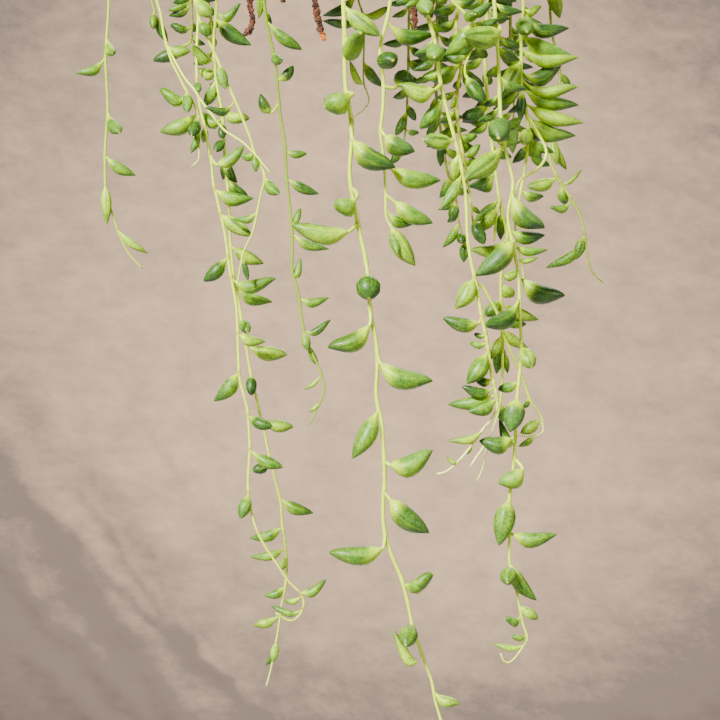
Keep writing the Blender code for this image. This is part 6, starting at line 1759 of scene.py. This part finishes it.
def build_hanger(settings):
    """Three hanger wires, the ferrule that gathers them and the hook."""
    look = steel_look(settings)
    pieces = []
    for number, angle in enumerate(WIRE_ANGLES):
        line = curve_through(wire_line(angle, 10), 1.6)
        radii = np.full(len(line), WIRE_RADIUS)
        radii[0] = radii[-1] = 0.8 * WIRE_RADIUS
        pieces.append((f"hanger_wire_{number + 1}", tube(line, radii, 10), 60.0))
    bottom = FERRULE_TOP - FERRULE_LENGTH
    waist = (FERRULE_RADIUS, -50)
    profile = [(0.0, bottom)] + rounded((0, bottom), (FERRULE_RADIUS, bottom), waist, FERRULE_EDGE)
    for ring in CRIMPS:
        middle = bottom + ring * FERRULE_LENGTH
        profile += [(FERRULE_RADIUS, middle - 1.0), (FERRULE_RADIUS - CRIMP_DEPTH, middle - 0.3),
                    (FERRULE_RADIUS - CRIMP_DEPTH, middle + 0.3), (FERRULE_RADIUS, middle + 1.0)]
    profile += rounded(waist, (FERRULE_RADIUS, FERRULE_TOP), (0, FERRULE_TOP), FERRULE_EDGE)
    profile.append((0.0, FERRULE_TOP))
    pieces.append(("ferrule", lathe(profile, 48), 50.0))
    line = curve_through(hook_line(14), 1.2)
    radii = np.full(len(line), HOOK_WIRE)
    radii[-1], radii[-2] = 0.55 * HOOK_WIRE, 0.9 * HOOK_WIRE
    pieces.append(("hook", tube(line, radii, 16), 60.0))
    for name, (vertices, faces), angle in pieces:
        item = place_mesh(name + "_drawn", new_mesh(name + "_drawn", vertices, faces), look)
        set_angle(item.data, angle)
        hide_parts(name)
        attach(item, "root")


def build_root_tails(settings):
    """Dry root tails with clinging soil."""
    draw = random.Random(SEED + 8)
    shapes = crumb_collection()
    tree = crumb_tree()
    for name, number, route in ROOT_TAILS:
        line = curve_through(tail_line(number, route), 1.0)
        low = line[-1][2] * MM if name == FRESH_TAIL else NO_TIP
        look = root_look(name + "_skin", settings.colour, settings.light, settings.fresh, low)
        radii = np.array([TAIL_RADIUS * draw.uniform(0.5, 1.0) for _ in line])
        radii[-4:] *= np.array((0.9, 0.75, 0.6, 0.35))
        vertices, faces = tube(line, radii, 10)
        mesh = new_mesh(name + "_rough", [tuple(c + draw.uniform(-0.16, 0.16) for c in p)
                                          for p in vertices], faces)
        inside = [1.0 if z < POT_BOTTOM_Z - 1.0 else 0.0 for _, _, z in vertices]
        carry(mesh, "bare", inside)
        item = place_mesh(name + "_rough", mesh)
        add_tree(item, tree, Crumb_Shapes=shapes, Density=ROOT_CRUMBS, Smallest=0.3, Largest=0.9,
                 Seed=number, Material=look)
        settle_modifier(item)
        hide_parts(name)
        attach(item, "root")


# Stage


def build_stage(settings):
    """Round room with a plain floor and a mottled backdrop that glows with painted light and shade, soft
    lights and the camera.
    """
    radius, floor = settings.radius, settings.floor_z
    look, make = new_look("backdrop_cloth", Roughness=1.0)
    where = make.place()
    across, height = make.part(where, "X"), make.part(where, "Z")
    right, up = across / BACKDROP_HALF, (height - VIEW_Z * MM) / BACKDROP_HALF
    low, high = (up * -1.0).math("MAXIMUM", 0.0), up.math("MAXIMUM", 0.0)
    wide, tall = right * right, up * up
    # Painted shade: the backdrop is painted darker toward its edges and corners round the middle of the
    # view, a painted fall-off of light
    shade = 0.14 + wide * 0.38 + high * high * 0.2 + low * low * low * 0.62 + wide * tall * 0.3
    # Deeper painted shade in the lower left
    shade = shade + make.step(right * -0.6 - up * 0.8, 0.35, 1.15) * 0.24
    blotch = make.noise(where, 1.4, 3.0, 0.6)
    mottle = make.noise(make.vector(across, 0.0, height * 1.7), 6.0, 5.0, 0.68)
    weave = make.noise(make.vector(across + height * 0.6, 0.0, height * 1.4), 17.0, 4.0, 0.7)
    # The cloth's own mottle is added to the painted shade
    shade = shade + (blotch - 0.5) * 0.5 + (mottle - 0.5) * 0.95 + (weave - 0.5) * 0.5
    warp = (make.noise(where, 3.0, 3.0, 0.6) - 0.5) * 0.16
    # Each fold is painted light on one side and painted shade on the other
    for start_right, start_up, slope, width, first, last, depth in FOLDS:
        level = 1.0 / math.hypot(1.0, slope)
        off = (right - start_right) * (slope * level) + (up - start_up) * level + warp
        run_on = (right - start_right) * level - (up - start_up) * (slope * level) + warp
        hill = ((off / width) * (off / width) * -1.0).math("EXPONENT")
        relief = hill * (0.55 - (off / width)) * depth
        shade = shade + relief * make.step(run_on, first, first + 0.25) * make.step(run_on, last, last - 0.4)
    # The middle colour is the backdrop's painted light and the edge colour its painted shade
    tone = make.mix(settings.cloth, settings.cloth_edge, shade.math("MINIMUM", 1.0).clamped())
    # Painted shade goes darker still where it runs past one
    tone = make.mix(tone, (0.0, 0.0, 0.0), make.step(shade, 1.0, 2.2) * 0.5)
    # The backdrop glows with its painted light and shade; its base colour is near black, so the lamps barely
    # change it
    make.paint("Base Color", make.mix(tone, (0.0, 0.0, 0.0), 0.94))
    make.paint("Emission Color", tone)
    make.paint("Emission Strength", settings.glow)
    steps = ROOM_STEPS
    wall = [polar(radius, 360.0 * k / steps) for k in range(steps)]
    vertices = [(x, y, floor) for x, y, _ in wall] + [(x, y, ROOM_TOP) for x, y, _ in wall]
    faces = [(k, k + steps, (k + 1) % steps + steps, (k + 1) % steps) for k in range(steps)]
    mesh = bpy.data.meshes.new("backdrop")
    mesh.from_pydata(vertices, [], faces)
    mesh.shade_smooth()
    room = place_mesh("backdrop", mesh, look)
    room.visible_diffuse = room.visible_glossy = False
    floor_look, make = new_look("plain_floor", Roughness=0.8)
    speck = make.noise(make.place(), 60.0, 3.0, 0.6)
    tone = make.mix(settings.floor, tuple(c * 0.93 for c in settings.floor), speck)
    make.paint("Base Color", tone)
    make.paint("Emission Color", tone)
    make.paint("Emission Strength", FLOOR_GLOW)
    mesh = bpy.data.meshes.new("floor")
    mesh.from_pydata([(x, y, floor) for x, y, _ in wall], [], [tuple(range(steps))])
    ground = place_mesh("floor", mesh, floor_look)
    ground.visible_diffuse = False
    for name, place, size, power, tint in STAGE_LIGHTS:
        data = bpy.data.lights.new(name, "AREA")
        data.shape = "DISK"
        data.size, data.energy, data.color = size, power, tint
        lamp = bpy.data.objects.new(name, data)
        lamp.location = place
        lamp.rotation_euler = (Vector(STAGE_AIM) - lamp.location).to_track_quat("-Z", "Y").to_euler()
        lamp.visible_camera = False
        bpy.context.scene.collection.objects.link(lamp)
    world = bpy.data.worlds.new("studio")
    world.use_nodes = True
    world.node_tree.nodes["Background"].inputs["Color"].default_value = (1.0, 0.97, 0.94, 1.0)
    world.node_tree.nodes["Background"].inputs["Strength"].default_value = WORLD_LIGHT
    bpy.context.scene.world = world
    data = bpy.data.cameras.new("camera")
    data.sensor_width, data.lens = CAMERA_SENSOR, CAMERA_SENSOR * VIEW_DISTANCE / PICTURE_WIDTH
    data.clip_start, data.clip_end = 0.05, 60.0
    camera = bpy.data.objects.new("camera", data)
    camera.location = (VIEW_U * MM, -VIEW_DISTANCE * MM, VIEW_Z * MM)
    camera.rotation_euler = (math.pi / 2, 0.0, 0.0)
    bpy.context.scene.collection.objects.link(camera)
    bpy.context.scene.camera = camera


# Operators and panel


class SUCCULENT_OT_stage(bpy.types.Operator):
    """Build the room, the lights and the camera"""

    bl_idname = "succulent.stage"
    bl_label = "Stage"

    def execute(self, context):
        """Build the stage."""
        build_stage(context.scene.succulent_stage)
        return {"FINISHED"}


class SUCCULENT_OT_pot(bpy.types.Operator):
    """Build the moulded pot"""

    bl_idname = "succulent.pot"
    bl_label = "Pot"

    def execute(self, context):
        """Build the pot."""
        build_pot(context.scene.succulent_pot)
        return {"FINISHED"}


class SUCCULENT_OT_soil(bpy.types.Operator):
    """Build the heaped soil with its crumbs"""

    bl_idname = "succulent.soil"
    bl_label = "Soil"

    def execute(self, context):
        """Build the soil."""
        build_soil(context.scene.succulent_soil)
        return {"FINISHED"}


class SUCCULENT_OT_hanger(bpy.types.Operator):
    """Build the wires, the ferrule and the hook"""

    bl_idname = "succulent.hanger"
    bl_label = "Hanger"

    def execute(self, context):
        """Build the hanger."""
        build_hanger(context.scene.succulent_hanger)
        return {"FINISHED"}


class SUCCULENT_OT_root_tails(bpy.types.Operator):
    """Build the root tails under the pot"""

    bl_idname = "succulent.root_tails"
    bl_label = "Root tails"

    def execute(self, context):
        """Build the root tails."""
        build_root_tails(context.scene.succulent_roots)
        return {"FINISHED"}


class SUCCULENT_OT_trailing_stems(bpy.types.Operator):
    """Build the long trailing stems with their beads"""

    bl_idname = "succulent.trailing_stems"
    bl_label = "Trailing stems"

    def execute(self, context):
        """Build the stems that were read one by one."""
        PlantWork.build(context.scene, list(dict.fromkeys(entry["node"] for entry in RUNS)))
        return {"FINISHED"}


class SUCCULENT_OT_short_stems(bpy.types.Operator):
    """Build the short stems round the rim and the tufts on the soil"""

    bl_idname = "succulent.short_stems"
    bl_label = "Short stems and tufts"

    def execute(self, context):
        """Build the stems that follow a rule."""
        names = [f"stem_short_{k + 1:02d}" for k in range(len(SHORT_STEMS))]
        PlantWork.build(context.scene, names + [f"tuft_{k + 1}" for k in range(len(TUFTS))])
        return {"FINISHED"}


class SUCCULENT_PT_panel(bpy.types.Panel):
    """Panel that lists the pieces and their settings"""

    bl_idname = "SUCCULENT_PT_panel"
    bl_label = "Hanging succulent"
    bl_space_type = "VIEW_3D"
    bl_region_type = "UI"
    bl_category = "Succulent"

    def draw(self, context):
        """List the operators, then the settings."""
        for operator in OPERATORS:
            self.layout.operator(operator.bl_idname)
        for name, group in SETTINGS:
            box = self.layout.box()
            for title in group.__annotations__:
                box.prop(getattr(context.scene, name), title)


OPERATORS = (SUCCULENT_OT_stage, SUCCULENT_OT_pot, SUCCULENT_OT_soil, SUCCULENT_OT_hanger,
             SUCCULENT_OT_root_tails, SUCCULENT_OT_trailing_stems, SUCCULENT_OT_short_stems)
SETTINGS = (("succulent_beads", BeadSettings), ("succulent_stems", StemSettings),
            ("succulent_pot", PotSettings), ("succulent_soil", SoilSettings),
            ("succulent_hanger", HangerSettings), ("succulent_roots", RootSettings),
            ("succulent_stage", StageSettings))


def register():
    """Register the classes and hang the settings on the scene."""
    for name, group in SETTINGS:
        bpy.utils.register_class(group)
        setattr(bpy.types.Scene, name, bpy.props.PointerProperty(type=group))
    for operator in OPERATORS:
        bpy.utils.register_class(operator)
    bpy.utils.register_class(SUCCULENT_PT_panel)


def unregister():
    """Undo register."""
    bpy.utils.unregister_class(SUCCULENT_PT_panel)
    for operator in reversed(OPERATORS):
        bpy.utils.unregister_class(operator)
    for name, group in reversed(SETTINGS):
        delattr(bpy.types.Scene, name)
        bpy.utils.unregister_class(group)


def main():
    """Build every piece."""
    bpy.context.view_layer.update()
    register()
    bpy.ops.succulent.stage()
    bpy.ops.succulent.pot()
    bpy.ops.succulent.soil()
    bpy.ops.succulent.hanger()
    bpy.ops.succulent.root_tails()
    bpy.ops.succulent.trailing_stems()
    bpy.ops.succulent.short_stems()


if __name__ == "__main__":
    main()
